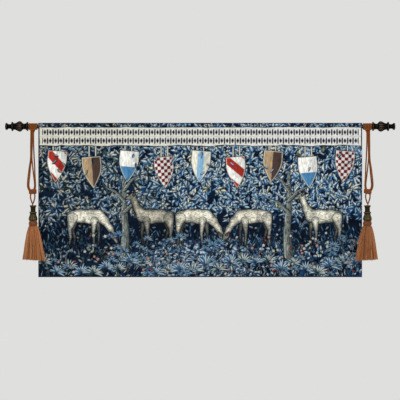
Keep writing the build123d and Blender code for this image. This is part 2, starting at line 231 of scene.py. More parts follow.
class Shade:
    """One node material. Patterns are in the frame's coordinates, in metres."""

    def __init__(self, name, rough=0.8, metal=0.0, specular=0.5, sheen=0.0, sheen_rough=0.5, coat=0.0,
                 coat_rough=0.3):
        self.material = bpy.data.materials.new(name)
        self.material.use_nodes = True
        self.tree = self.material.node_tree
        self.bsdf = self.tree.nodes["Principled BSDF"]
        plain = {"Roughness": rough, "Metallic": metal, "Specular IOR Level": specular, "Sheen Weight": sheen,
                 "Sheen Roughness": sheen_rough, "Coat Weight": coat, "Coat Roughness": coat_rough}
        for key, value in plain.items():
            self.bsdf.inputs[key].default_value = value
        self.place = self.node("ShaderNodeTexCoord").outputs["Object"]

    def node(self, kind, **settings):
        node = self.tree.nodes.new(kind)
        for key, value in settings.items():
            setattr(node, key, value)
        return node

    def join(self, value, socket):
        if isinstance(value, bpy.types.NodeSocket):
            self.tree.links.new(value, socket)
        else:
            socket.default_value = value

    def stretched(self, scale, turn=(0, 0, 0)):
        node = self.node("ShaderNodeMapping")
        self.join(self.place, node.inputs["Vector"])
        node.inputs["Scale"].default_value = scale
        node.inputs["Rotation"].default_value = turn
        return node.outputs["Vector"]

    def noise(self, scale, detail=2.0, rough=0.5, vector=None):
        node = self.node("ShaderNodeTexNoise")
        self.join(self.place if vector is None else vector, node.inputs["Vector"])
        for key, value in (("Scale", scale), ("Detail", detail), ("Roughness", rough)):
            node.inputs[key].default_value = value
        return node.outputs["Fac"]

    def bands(self, scale, direction, distortion):
        node = self.node("ShaderNodeTexWave", wave_type="BANDS", bands_direction=direction)
        self.join(self.place, node.inputs["Vector"])
        node.inputs["Scale"].default_value = scale
        node.inputs["Distortion"].default_value = distortion
        return node.outputs["Fac"]

    def value(self, name):
        return self.node("ShaderNodeAttribute", attribute_name=name).outputs["Fac"]

    def colour_of(self, name):
        return self.node("ShaderNodeAttribute", attribute_name=name).outputs["Color"]

    def math(self, operation, a, b=0.0, clamp=False):
        node = self.node("ShaderNodeMath", operation=operation, use_clamp=clamp)
        self.join(a, node.inputs[0])
        self.join(b, node.inputs[1])
        return node.outputs["Value"]

    def ramp(self, value, *stops):
        """stops are (position, sRGB colour)."""
        node = self.node("ShaderNodeValToRGB")
        self.join(value, node.inputs["Fac"])
        marks = node.color_ramp.elements
        while len(marks) < len(stops):
            marks.new(0.5)
        for mark, (at, colour) in zip(marks, stops):
            mark.position = at
            mark.color = linear(*colour)
        return node.outputs["Color"]

    def mix(self, factor, a, b, blend="MIX"):
        node = self.node("ShaderNodeMix", data_type="RGBA", blend_type=blend)
        self.join(factor, node.inputs[0])
        self.join(a, node.inputs[6])
        self.join(b, node.inputs[7])
        return node.outputs[2]

    def scaled(self, colour, value):
        """The colour times a number that varies."""
        grey = self.node("ShaderNodeCombineColor")
        for key in ("Red", "Green", "Blue"):
            self.join(value, grey.inputs[key])
        return self.mix(1.0, colour, grey.outputs["Color"], "MULTIPLY")

    def span(self, value, low, high):
        """0..1 made low..high."""
        return self.math("ADD", self.math("MULTIPLY", value, high - low), low)

    def colour(self, value):
        self.join(value, self.bsdf.inputs["Base Color"])
        return self

    def roughness(self, value):
        self.join(value, self.bsdf.inputs["Roughness"])
        return self

    def bump(self, *layers):
        """layers are (height, distance in metres), the coarsest first."""
        normal = None
        for height, distance in layers:
            node = self.node("ShaderNodeBump")
            node.inputs["Strength"].default_value = 1.0
            node.inputs["Distance"].default_value = distance
            self.join(height, node.inputs["Height"])
            if normal is not None:
                self.join(normal, node.inputs["Normal"])
            normal = node.outputs["Normal"]
        self.join(normal, self.bsdf.inputs["Normal"])
        return self


def picture_cloth():
    """Wool weft over a ribbed warp. The picture is a colour attribute; each pass of weft varies a little."""
    s = Shade("woven_wool", rough=0.95, specular=0.04, sheen=0.015, sheen_rough=0.6)
    weft = s.noise(1.0, 3.0, 0.6, s.stretched((160, 160, 1150)))
    slub = s.noise(1.0, 2.0, 0.5, s.stretched((420, 420, 420)))
    tone = s.math("MULTIPLY", s.span(weft, 0.80, 1.22), s.span(slub, 0.90, 1.10))
    s.colour(s.scaled(s.colour_of("picture"), tone))
    ribs = s.bands(175.0, "X", 0.15)
    s.bump((s.noise(28.0, 3.0, 0.5), 0.0010), (ribs, 0.00018), (weft, 0.00022))
    return s.material


BAND_PERIOD = 2 * math.pi / 20      # one band of a wave texture at a scale of 1


def plain_cloth(name, light, dark, thread=0.0011):
    """Plain-weave cotton: two sets of threads crossing, faded unevenly."""
    s = Shade(name, rough=0.95, specular=0.15, sheen=0.10, sheen_rough=0.5)
    warp = s.bands(BAND_PERIOD / thread, "X", 0.6)
    weft = s.bands(BAND_PERIOD / thread, "Z", 0.6)
    weave = s.math("MAXIMUM", warp, weft)
    fade = s.noise(6.0, 4.0, 0.6)
    speck = s.noise(700.0, 2.0, 0.6)
    wear = s.math("ADD", s.math("MULTIPLY", fade, 0.7), s.math("MULTIPLY", speck, 0.35))
    tone = s.ramp(wear, (0.32, dark), (0.72, light))
    s.colour(s.scaled(tone, s.span(weave, 0.84, 1.05)))
    s.bump((s.noise(22.0, 3.0, 0.5), 0.0012), (weave, 0.00016))
    return s.material


def cord_yarn(name, light, mid, dark, fibre=1.0):
    """Lustrous twisted yarn: a painted highlight on the crown of each ply, painted shade between plies."""
    s = Shade(name, rough=0.66, specular=0.16, sheen=0.06, sheen_rough=0.4)
    strand = s.noise(1.0, 3.0, 0.65, s.stretched((1500 * fibre, 1500 * fibre, 480 * fibre)))
    patch = s.noise(45.0, 3.0, 0.6)
    lit = s.math("ADD", s.math("MULTIPLY", s.value("crown"), 0.62), s.math("MULTIPLY", strand, 0.42))
    level = s.math("ADD", s.math("MULTIPLY", patch, 0.30), s.math("MULTIPLY", lit, 0.78))
    tone = s.ramp(level, (0.20, dark), (0.52, mid), (0.92, light))
    s.colour(s.scaled(tone, s.span(s.value("tint"), 0.62, 1.32)))
    s.roughness(s.span(strand, 0.52, 0.78))
    s.bump((strand, 0.00022))
    return s.material


FRINGE_LOTS = ((0.0, (122, 82, 48)), (0.28, (172, 104, 60)), (0.52, (196, 126, 78)), (0.78, (214, 152, 100)),
               (1.0, (166, 132, 78)))


def fringe_yarn():
    """The tassel's skirt: each strand has its own dye lot, from olive brown to orange."""
    s = Shade("fringe_yarn", rough=0.66, specular=0.22, sheen=0.08, sheen_rough=0.45)
    lot = s.ramp(s.value("tint"), *FRINGE_LOTS)
    strand = s.noise(1.0, 3.0, 0.6, s.stretched((1300, 1300, 260)))
    length = s.noise(1.0, 2.0, 0.5, s.stretched((60, 60, 18)))
    # Painted shade between each strand's plies and a painted highlight on their crowns.
    shade = s.math("MULTIPLY", s.span(s.value("crown"), 0.42, 1.10), s.span(strand, 0.72, 1.25))
    s.colour(s.scaled(lot, s.math("MULTIPLY", shade, s.span(length, 0.82, 1.16))))
    s.bump((strand, 0.0003))
    return s.material


def bronze(name, body, worn, grime, metal, rough):
    """Dark patinated casting: rubbed bright on its high edges, partly wear and partly a painted highlight;
    dull in its hollows.
    """
    s = Shade(name, rough=rough, metal=metal, specular=0.4, coat=0.04, coat_rough=0.3)
    s.bsdf.inputs["Specular Tint"].default_value = (0.25, 0.24, 0.22, 1.0)
    patch = s.noise(60.0, 4.0, 0.6)
    grain = s.noise(520.0, 3.0, 0.6)
    tone = s.mix(s.math("MULTIPLY", patch, 0.8, clamp=True), linear(*grime), linear(*body))
    # The wear attribute brightens the high edges: rubbed wear together with a painted highlight.
    edge = s.math("MULTIPLY", s.value("wear"), s.span(grain, 0.3, 1.3), clamp=True)
    tone = s.mix(edge, tone, linear(*worn))
    s.colour(s.mix(s.math("MULTIPLY", s.value("grime"), 0.85, clamp=True), tone, linear(*grime)))
    mottle = s.math("ADD", s.math("MULTIPLY", patch, 0.5), s.math("MULTIPLY", grain, 0.5))
    s.roughness(s.span(mottle, rough - 0.12, rough + 0.25))
    s.bump((s.noise(240.0, 4.0, 0.6), 0.0003), (grain, 0.0001))
    return s.material


def cad_metal(name, body, worn, metal, rough, brushed=False):
    """A finish for CAD nodes that keep their own mesh: mottled, with worn streaks."""
    s = Shade(name, rough=rough, metal=metal, specular=0.5)
    patch = s.noise(38.0, 5.0, 0.65)
    streak = s.noise(1.0, 3.0, 0.6, s.stretched((14, 900, 900) if brushed else (300, 300, 300)))
    wear = s.math("MULTIPLY", s.math("POWER", patch, 3.0), s.span(streak, 0.4, 2.2), clamp=True)
    s.colour(s.mix(wear, linear(*body), linear(*worn)))
    s.roughness(s.span(streak, rough - 0.1, rough + 0.22))
    s.bump((streak, 0.00012), (s.noise(900.0, 2.0, 0.5), 0.00006))
    return s.material


def pale_floor():
    s = Shade("pale_floor", rough=0.85, specular=0.2)
    s.colour(s.ramp(s.noise(3.0, 3.0, 0.5), (0.3, (206, 205, 201)), (0.7, (216, 215, 212))))
    return s.material


PICTURE = picture_cloth()
LINING = plain_cloth("cotton_lining", (186, 172, 146), (160, 145, 120))
SLEEVE = plain_cloth("sleeve_twill", (172, 158, 132), (146, 131, 108), thread=0.0014)
THREAD = plain_cloth("sewing_thread", (116, 100, 78), (94, 80, 62))
# The yarns' light, mid and dark tones run from a painted highlight on a ply's crown to painted shade between
# plies.
CORD = cord_yarn("rust_cord_yarn", (166, 94, 34), (116, 62, 21), (30, 15, 6))
BINDING = cord_yarn("binding_yarn", (172, 104, 66), (132, 74, 46), (50, 26, 18), 1.4)
FRINGE = fringe_yarn()
# The second colour of each bronze, its rubbed tone, also serves as a painted highlight on its high edges.
FINIAL = bronze("black_bronze", (15, 13, 12), (150, 132, 108), (5, 5, 5), metal=0.9, rough=0.30)
HEAD = bronze("olive_bronze", (66, 54, 32), (140, 124, 82), (15, 12, 9), metal=0.8, rough=0.34)
ROD_FINISH = cad_metal("rod_bronze", (34, 31, 28), (74, 66, 54), 0.65, 0.45, brushed=True)
IRON = cad_metal("black_iron", (30, 30, 31), (58, 56, 54), 0.5, 0.58)
ZINC = cad_metal("zinc_thread", (150, 152, 150), (96, 94, 88), 0.9, 0.35)
BRASS = cad_metal("brass_insert", (170, 134, 72), (112, 86, 46), 0.95, 0.35)
WOOD = cad_metal("turned_beech", (176, 140, 98), (140, 104, 70), 0.0, 0.6, brushed=True)


# ---------------------------------------------------------------- camera

VIEW_DISTANCE = 6.0
VIEW_WIDTH = 1.791          # what the frame takes in, at the cloth's front
VIEW_X, VIEW_Z = -0.001, -0.330


def make_camera():
    data = bpy.data.cameras.new("camera")
    data.sensor_width = 36.0
    data.lens = 36.0 * VIEW_DISTANCE / VIEW_WIDTH
    camera = bpy.data.objects.new("camera", data)
    camera.location = (VIEW_X, face_low.y - VIEW_DISTANCE, VIEW_Z)
    camera.rotation_euler = (math.pi / 2, 0, 0)
    bpy.context.scene.collection.objects.link(camera)
    bpy.context.scene.camera = camera


# ---------------------------------------------------------------- tassel cords

CORD_D = 0.0055
ROPE_D = 0.0066             # over the crowns of the plies, where the cord lies slack
CORD_PITCH = 0.0185
TASSEL_X = 0.750            # hitch centre from the middle of the rod

# Route points as (towards the panel, y, z) from the hitch's centre line.
STRANDS = {
    "strand_a": (
        (-0.0073, -0.0495, -0.0310), (-0.0077, -0.0514, -0.0800), (-0.0074, -0.0538, -0.1480),
        (-0.0140, -0.0558, -0.1845), (-0.0172, -0.0574, -0.2140), (-0.0214, -0.0598, -0.2520),
        (-0.0204, -0.0612, -0.2790), (-0.0110, -0.0616, -0.2910),
    ),
    "strand_b": (
        (-0.0044, -0.0445, -0.0310), (-0.0036, -0.0464, -0.0780), (-0.0052, -0.0485, -0.1400),
        (-0.0096, -0.0516, -0.1845), (-0.0114, -0.0552, -0.2160), (-0.0154, -0.0572, -0.2520),
        (-0.0162, -0.0578, -0.2740), (-0.0076, -0.0582, -0.2870),
    ),
    "strand_c": (
        (-0.0015, -0.0495, -0.0310), (-0.0008, -0.0516, -0.0740), (-0.0036, -0.0540, -0.1400),
        (0.0012, -0.0558, -0.1800), (0.0050, -0.0570, -0.2140), (0.0096, -0.0574, -0.2500),
        (0.0112, -0.0578, -0.2720), (0.0054, -0.0580, -0.2860),
    ),
    "strand_d": (
        (0.0042, -0.0495, -0.0310), (0.0046, -0.0515, -0.0860), (0.0080, -0.0536, -0.1500),
        (0.0104, -0.0558, -0.1820), (0.0112, -0.0574, -0.2140), (0.0138, -0.0612, -0.2500),
        (0.0152, -0.0622, -0.2720), (0.0110, -0.0614, -0.2880),
    ),
}
LOOP_LEGS = {
    "loop_leg_a": (
        (-0.0040, -0.0603, -0.2970), (-0.0084, -0.0610, -0.3080), (-0.0076, -0.0624, -0.3220),
        (-0.0030, -0.0642, -0.3350), (-0.0006, -0.0650, -0.3436),
    ),
    "loop_leg_b": (
        (0.0070, -0.0603, -0.2970), (0.0122, -0.0610, -0.3080), (0.0114, -0.0624, -0.3220),
        (0.0076, -0.0642, -0.3350), (0.0052, -0.0650, -0.3436),
    ),
}


def at_side(s, route):
    return [(s * (TASSEL_X - inward), y, z) for inward, y, z in route]


def make_cords(side, s):
    for number, (name, route) in enumerate({**STRANDS, **LOOP_LEGS}.items()):
        line = spline_line(at_side(s, route))
        points, faces, crown = rope(line, ROPE_D, s * CORD_PITCH, twist=0.9 * number, fat=0.64)
        tint = 0.5 + 0.10 * math.sin(2.3 * number + s)
        piece = new_object(f"{side}_{name}_cord", points, faces, CORD, f"{side}_cords", "rust_cord",
                           crown=crown, tint=np.full(len(points), tint))
        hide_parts(f"{side}_{name}")
        even_line(line, 0.002)[0].tolist()


# ---------------------------------------------------------------- hitch, keeper and neck cord

TURNS = 6
TURN_PITCH = 0.0068
TURN_ROPE_D = 0.0061        # the cord drawn tight over the rod
TURN_R = ROD_R + 0.0003 + CORD_D / 2
FUNNEL_FOOT = -0.0310
# How far towards the panel each turn leaves the funnel.
FUNNEL_FEET = (0.0042, 0.0024, -0.0015, -0.0030, -0.0073, -0.0050)
# The bar across the turns, as (towards the right, y, z) from the hitch's middle.
BAR = (
    (-0.0184, -0.0440, -0.0120), (-0.0180, -0.0480, -0.0130), (-0.0148, -0.0512, -0.0140),
    (-0.0102, -0.0522, -0.0144), (0.0000, -0.0524, -0.0148), (0.0102, -0.0520, -0.0142),
    (0.0148, -0.0512, -0.0136), (0.0180, -0.0480, -0.0126), (0.0184, -0.0440, -0.0120),
)


def make_hitch(side, s):
    """Six turns come over the rod, draw together in front of it under a bar, and leave as four strands."""
    bundle = Bundle()
    for turn, foot in enumerate(FUNNEL_FEET):
        x = s * (TASSEL_X + (turn - (TURNS - 1) / 2) * TURN_PITCH)
        foot_x = s * (TASSEL_X - foot)
        arc = np.radians(np.linspace(-98, 178, 26))
        over = [(x - s * 0.0006 * math.sin(a), ROD_Y + TURN_R * math.cos(a), TURN_R * math.sin(a))
                for a in arc]
        front_y = ROD_Y - TURN_R
        mix_x = [x + (foot_x - x) * t for t in (0.12, 0.42, 0.78, 1.0)]
        depth = 0.0036 if turn % 2 else -0.0008
        down = [(mix_x[0], front_y - 0.0001, -0.0060), (mix_x[1], front_y - 0.0006 + 0.4 * depth, -0.0135),
                (mix_x[2], -0.0478 + depth, -0.0215), (mix_x[3], -0.0490 + depth, FUNNEL_FOOT - 0.001)]
        line = smooth_profile(over + down, 0.0012)
        points, faces, crown = rope(line, TURN_ROPE_D, s * CORD_PITCH, twist=turn * 1.7, fat=0.6)
        # Painted light along the top of each turn over the rod, with painted shade where two turns meet.
        turn_top_light = np.where(points[:, 2] > -0.008, 1 - np.abs(points[:, 0] - x) / (ROPE_D / 2), 0.6)
        crown = crown * 0.5 + 0.5 * np.clip(turn_top_light, 0, 1)
        bundle.add(points, faces, crown=crown, tint=0.55 + 0.12 * math.sin(turn * 2.1))
    line = smooth_profile([(s * TASSEL_X + x, y, z) for x, y, z in BAR], 0.0012)
    bundle.add_rope(line, CORD_D * 0.98, -s * CORD_PITCH, tint=0.62)
    piece = bundle.build(f"{side}_hitch_turns", CORD, f"{side}_hitch", "rust_cord")
    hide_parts(f"{side}_hitch")


# The keeper's tucked end as (outwards, y, z), and its packing's outline as (height, radius), from its middle.
KEEPER_END = ((-0.0100, -0.0035, 0.0035), (-0.0040, -0.0079, 0.0042), (0.0040, -0.0083, -0.0005),
              (0.0095, -0.0045, -0.0062), (0.0105, 0.0, -0.0085))
KEEPER_CORE = ((-0.0085, 0.0002), (-0.0080, 0.0040), (-0.0060, 0.0056), (0.0060, 0.0056), (0.0080, 0.0040),
               (0.0085, 0.0002))


def make_keeper(side, s):
    """Four slanting turns round the strands, drawn tight, with the cord's end tucked under the last."""
    low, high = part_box(f"{side}_keeper_knot")
    centre = (low + high) / 2
    centre.x -= s * 0.0012
    half = (high - low) / 2
    bundle = Bundle()
    wide, deep = half.x - CORD_D / 2 + 0.0032, half.y - CORD_D / 2
    turns, rise = 3.9, 0.0048
    t = np.linspace(0, turns * 2 * math.pi, int(turns * 40))
    swell = 1 - 0.10 * np.abs(t / t[-1] * 2 - 1) ** 2
    x = wide * swell * np.sign(np.cos(t)) * np.abs(np.cos(t)) ** 0.86
    y = deep * swell * np.sign(np.sin(t)) * np.abs(np.sin(t)) ** 0.80
    z = (t / (2 * math.pi) - turns / 2) * rise - s * x * 0.13
    line = np.stack([centre.x + x, centre.y + y, centre.z + z], 1)
    bundle.add_rope(line, ROPE_D, s * CORD_PITCH, tint=0.6)
    end = [(centre.x + s * a, centre.y + b * 0.72, centre.z + c) for a, b, c in KEEPER_END]
    line = smooth_profile(end, 0.0012)
    bundle.add_rope(line, CORD_D * 0.92, s * CORD_PITCH, tint=0.66)
    points, faces = lathe(KEEPER_CORE, centre, (0, 0, 1), (1, 0, 0), 32)
    points[:, 0] = centre.x + (points[:, 0] - centre.x) * 1.75
    # The packing's low crown and tint make it darker than the turns: painted shade inside the wrap.
    bundle.add(points, faces, crown=0.2, tint=0.4)
    piece = bundle.build(f"{side}_keeper_wrap", CORD, f"{side}_cords", "rust_cord")
    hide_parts(f"{side}_keeper_knot")


NECK_D, NECK_PITCH = 0.0086, 0.026
NECK_COIL_R = 0.0050


def make_neck_cord(side, s):
    """The loop's two legs closed into one stout cord, knotted inside the head."""
    low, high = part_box(f"{side}_neck_cord")
    centre = (low + high) / 2
    knot_r = (high.x - low.x) / 2
    knot_z = low.z + knot_r
    bundle = Bundle()
    line = [(centre.x, centre.y, high.z + 0.0012), (centre.x, centre.y, knot_z)]
    bundle.add_rope(line, NECK_D, s * NECK_PITCH, tint=0.45, plies=2, columns=10, fat=0.52)
    a = np.linspace(0, 4.2 * math.pi, 90)
    coil = np.stack([centre.x + NECK_COIL_R * np.cos(a), centre.y + NECK_COIL_R * np.sin(a),
                     knot_z + 0.0022 * np.sin(a * 0.5 + 0.4)], 1)
    bundle.add_rope(coil, 0.0052, s * CORD_PITCH, tint=0.45, step=0.0013)
    piece = bundle.build(f"{side}_neck_knot", CORD, f"{side}_tassel", "rust_cord")
    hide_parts(f"{side}_neck_cord")


# ---------------------------------------------------------------- tassel head, binding and skirt

CAST_STEP = 0.0006          # between points of a casting's outline

# The head's outer line from rim to foot, and its bore, as (height, radius).
HEAD_OUTER = (
    (-0.3533, 0.0130), (-0.3546, 0.0144), (-0.3566, 0.0147), (-0.3592, 0.0140), (-0.3612, 0.0122),
    (-0.3650, 0.0115), (-0.3720, 0.0111), (-0.3790, 0.0114), (-0.3822, 0.0122), (-0.3832, 0.0140),
    (-0.3846, 0.0162), (-0.3864, 0.0167), (-0.3884, 0.0158), (-0.3900, 0.0142), (-0.3935, 0.0139),
    (-0.3985, 0.0150), (-0.4030, 0.0166), (-0.4080, 0.0184), (-0.4120, 0.0192), (-0.4150, 0.0199),
    (-0.4172, 0.0196), (-0.4192, 0.0182), (-0.4205, 0.0178), (-0.4230, 0.0176),
)
HEAD_LOBES = 14
HEAD_BORE = ((-0.4230, 0.0095), (-0.3790, 0.0095), (-0.3783, 0.0046), (-0.3533, 0.0046))


def near(value, place, width):
    """1 at a place, falling smoothly to 0 on both sides."""
    return np.exp(-(((value - place) / width) ** 2))


def make_head(side, s):
    low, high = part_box(f"{side}_tassel_head")
    centre = ((low.x + high.x) / 2 - s * 0.0022, (low.y + high.y) / 2, 0)
    profile = np.vstack([smooth_profile(HEAD_OUTER, CAST_STEP), HEAD_BORE])

    def carve(u, r, angle):
        flare = np.clip((-0.3915 - u) / 0.004, 0, 1) * np.clip((u + 0.4185) / 0.003, 0, 1) * (r > 0.0125)
        lobes = np.abs(np.cos(angle * HEAD_LOBES / 2)) ** 0.7 - 0.80
        beads = near(u, -0.3864, 0.0024) * (np.cos(angle * 20) - 0.4) * 0.00055 * (r > 0.0125)
        return r + 0.0014 * flare * lobes + beads

    points, faces = lathe(profile, centre, (0, 0, 1), (1, 0, 0), 168, carve)
    r = np.hypot(points[:, 0] - centre[0], points[:, 1] - centre[1])
    z = points[:, 2]
    # ring brightens the raised bands, the flare's rim and its ribs: partly rubbed wear, partly a painted
    # highlight.
    ring = near(z, -0.3864, 0.0026) + near(z, -0.3560, 0.0022) + np.clip((r - 0.0192) / 0.0014, 0, 1)
    hollow = near(z, -0.3824, 0.0011) + near(z, -0.3908, 0.0010) + (r < 0.0098) + near(z, -0.4196, 0.0012)
    angle = np.arctan2(points[:, 1] - centre[1], points[:, 0] - centre[0])
    ribs = np.abs(np.cos(angle * HEAD_LOBES / 2)) ** 3
    ring = ring + 0.9 * ribs * np.clip((-0.3935 - z) / 0.003, 0, 1) * (r > 0.0125)
    piece = new_object(f"{side}_cast_head", points, faces, HEAD, f"{side}_tassel", "olive_bronze",
                       wear=np.clip(ring * 0.5, 0, 1), grime=np.clip(hollow, 0, 1))
    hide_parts(f"{side}_tassel_head")


BINDING_D = 0.0031


def make_binding(side, s):
    """A close winding of fine cord over the strands' heads."""
    low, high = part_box(f"{side}_binding")
    centre = (low + high) / 2
    centre.x -= s * 0.0025
    radius = (high.x - low.x) / 2
    height = high.z - low.z
    fine = BINDING_D
    turns = int(height / (fine * 0.94))
    t = np.linspace(0, 1, turns * 72)
    bulge = radius - fine / 2 - 0.0030 * (2 * t - 1) ** 2
    a = t * turns * 2 * math.pi
    wobble = 0.00025 * np.sin(a * 0.37) + 0.0002 * np.sin(a * 1.3 + 1)
    line = np.stack([centre.x + (bulge + wobble) * np.cos(a), centre.y + (bulge + wobble) * np.sin(a),
                     high.z - fine / 2 - (height - fine) * t], 1)
    bundle = Bundle()
    points, faces, crown = rope(line, fine, s * 0.0088, columns=4, step=0.0010)
    around = np.arctan2(points[:, 1] - centre.y, points[:, 0] - centre.x)
    tint = 0.5 + 0.22 * np.sin(points[:, 2] * 2600 + around)
    bundle.add(points, faces, crown=crown, tint=tint)
    pad = [(low.z + 0.0004, 0.0158), (low.z + 0.0016, radius - 0.0046), (centre.z, radius - 0.0022),
           (high.z - 0.0016, radius - 0.0046), (high.z - 0.0004, 0.0158)]
    points, faces = lathe(smooth_profile(pad, 0.002), (centre.x, centre.y, 0), (0, 0, 1), (1, 0, 0), 48)
    # The pad's low crown and tint make it dark: painted shade under the winding.
    bundle.add(points, faces, crown=0.1, tint=0.3)
    piece = bundle.build(f"{side}_binding_cord", BINDING, f"{side}_tassel", "rust_binding")
    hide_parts(f"{side}_binding")


# The skirt's outline as (height, half width, half depth); its back stays in one plane.
SKIRT = ((-0.4445, 0.0180, 0.0162), (-0.4470, 0.0216, 0.0190), (-0.4550, 0.0246, 0.0205),
         (-0.4800, 0.0314, 0.0240), (-0.5240, 0.0400, 0.0285), (-0.5600, 0.0456, 0.0315),
         (-0.5985, 0.0524, 0.0335))
SKIRT_LEAN = 0.0050         # how far the hem swings towards the panel
# Its layers from the outside in, as (strands, share of the outline, strand diameter).
SKIRT_LAYERS = ((88, 1.0, 0.0033), (64, 0.84, 0.0033), (40, 0.62, 0.0036))


def make_skirt(side, s):
    """A bell of cut, twisted strands: three layers, each deeper one in painted shade, over an inner cone
    painted dark as shade.
    """
    low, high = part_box(f"{side}_skirt")
    centre_x = (low.x + high.x) / 2
    back_y = high.y
    draw = np.random.default_rng(7 if s > 0 else 8)
    heights, widths, depths = np.array(SKIRT).T
    foot = heights[-1]

    def bell(z, angle, inset, ease):
        wide = np.interp(-z, -heights, widths)
        deep = np.interp(-z, -heights, depths)
        lean = SKIRT_LEAN * np.clip((heights[0] - z) / (heights[0] - foot), 0, 1)
        x = centre_x + (wide - inset) * ease * np.cos(angle) - s * lean
        y = back_y - deep + (deep - inset) * ease * np.sin(angle)
        return np.stack([x, y, z + 0 * x], 1)

    bundle = Bundle()
    for layer, (count, ease, thick) in enumerate(SKIRT_LAYERS):
        for n in range(count):
            angle = 2 * math.pi * (n + draw.uniform(-0.2, 0.2)) / count
            arch = 0.0035 * math.cos(angle) ** 2 - 0.0012 * abs(math.sin(angle))
            end = foot + draw.uniform(0.0, 0.0030) + arch * 0.4 + layer * 0.0012
            end += s * 0.0022 * math.cos(angle)
            z = np.linspace(SKIRT[0][0] + 0.002, end, 70)
            t = (z - z[0]) / (z[-1] - z[0])
            sway = draw.uniform(-0.055, 0.055) * t**1.5
            sway += 0.030 * np.sin(t * draw.uniform(3, 7) + draw.uniform(0, 6)) * t
            size = thick * draw.uniform(0.86, 1.08)
            lift = draw.uniform(0.0, 0.0016) * np.sin(t * draw.uniform(2, 5) + draw.uniform(0, 3)) ** 2
            line = bell(z, angle + sway, size / 2 + lift, ease)
            pitch = s * draw.uniform(0.0075, 0.0105)
            points, faces, crown = rope(line, size, pitch, plies=2, columns=4, step=0.0016, fat=0.58,
                                        twist=draw.uniform(0, 6), taper=((0, 0.25, 1), (0.50, 0.78, 1.0)))
            # Each deeper layer takes darker lots and lower crowns: painted shade inside the bell.
            tint = np.clip(draw.normal(0.5, 0.2) - 0.16 * layer, 0, 1)
            bundle.add(points, faces, crown=crown * (1 - 0.18 * layer), tint=tint)
    # The inner cone gets a low crown and tint, which paint it dark brown as the shade inside the bell.
    inner = [(z, a * 0.52) for z, a, _ in SKIRT]
    inner[-1] = (foot + 0.006, inner[-1][1])
    profile = np.vstack([[(inner[0][0], 0.0003)], smooth_profile(inner, 0.006), [(foot + 0.006, 0.0003)]])
    points, faces = lathe(profile, (centre_x, 0, 0), (0, 0, 1), (1, 0, 0), 40)
    deep = np.interp(-points[:, 2], -heights, depths)
    points[:, 1] = back_y - deep + points[:, 1] * 0.62
    bundle.add(points, faces, crown=0.1, tint=0.1)
    piece = bundle.build(f"{side}_skirt_strands", FRINGE, f"{side}_tassel", "rust_fringe")
    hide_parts(f"{side}_skirt")


# ---------------------------------------------------------------- finials

# The casting's outer line, (distance from the rod's end, radius), and its bore.
FINIAL_OUTER = (
    (0.0000, 0.0108), (0.0016, 0.0110), (0.0020, 0.0190), (0.0030, 0.0204), (0.0056, 0.0205),
    (0.0070, 0.0195), (0.0086, 0.0170), (0.0108, 0.0150), (0.0128, 0.0139), (0.0156, 0.0132),
    (0.0185, 0.0129), (0.0225, 0.0131), (0.0250, 0.0140), (0.0268, 0.0160), (0.0310, 0.0208),
    (0.0387, 0.0237), (0.0470, 0.0214), (0.0550, 0.0168), (0.0625, 0.0144), (0.0650, 0.0146),
    (0.0675, 0.0160), (0.0690, 0.0190), (0.0704, 0.0203), (0.0735, 0.0206), (0.0752, 0.0194),
    (0.0762, 0.0156), (0.0785, 0.0116), (0.0850, 0.0104), (0.0915, 0.0110), (0.0930, 0.0128),
    (0.0948, 0.0148), (0.0985, 0.0157), (0.1020, 0.0146), (0.1038, 0.0100), (0.1044, 0.0040),
    (0.1046, 0.0003),
)
FINIAL_BORE = ((0.0160, 0.0003), (0.0160, 0.0042), (0.0, 0.0042))
GADROONS = 16


def make_finial(side, s):
    profile = np.vstack([smooth_profile(FINIAL_OUTER, CAST_STEP), FINIAL_BORE])

    def carve(u, r, angle):
        bulb = np.clip((u - 0.0262) / 0.005, 0, 1) * np.clip((0.0610 - u) / 0.010, 0, 1)
        lobe = np.abs(np.cos(angle * GADROONS / 2)) ** 0.55
        cup = near(u, 0.0722, 0.0022) * np.cos(angle * 30) * 0.00030
        return r - np.where(r > 0.012, bulb * 0.0021 * (1 - lobe), 0) + np.where(r > 0.012, cup, 0)

    points, faces = lathe(profile, (s * ROD_END, ROD_Y, 0), (s, 0, 0), (0, 1, 0), 196, carve)
    if s < 0:
        faces = [f[::-1] for f in faces]
    u = np.abs(points[:, 0]) - ROD_END
    r = np.hypot(points[:, 1] - ROD_Y, points[:, 2])
    angle = np.arctan2(points[:, 2], points[:, 1] - ROD_Y)
    wave = np.abs(np.cos(angle * GADROONS / 2))
    # rims and crest brighten the rims and the crests of the gadroons: partly rubbed wear, partly a painted
    # highlight.
    rims = sum(near(u, at, 0.0014) for at in (0.0048, 0.0708, 0.0985))
    crest = wave**12 * near(u, 0.038, 0.012)
    groove = (1 - wave**0.55) * near(u, 0.041, 0.014)
    necks = sum(near(u, at, 0.0016) for at in (0.0092, 0.0256, 0.0764, 0.0925))
    outside = r > 0.0044
    wear = np.clip((rims * 0.2 + crest * 0.85) * outside, 0, 1)
    grime = np.clip(groove + necks + ~outside, 0, 1)
    piece = new_object(f"{side}_cast_finial", points, faces, FINIAL, f"{side}_finial", "black_bronze",
                       wear=wear, grime=grime)
    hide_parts(f"{side}_finial")


make_camera()
for side, s in SIDES:
    make_cords(side, s)
    make_hitch(side, s)
    make_keeper(side, s)
    make_neck_cord(side, s)
    make_head(side, s)
    make_binding(side, s)
    make_skirt(side, s)
    make_finial(side, s)


# ---------------------------------------------------------------- the woven picture

# The picture is painted on cells of one millimetre, x to the right and y down from the cloth's top left.
CELLS_W, CELLS_H = 1450, 691


def dyes(*colours):
    return (np.array(colour, np.float32) for colour in colours)


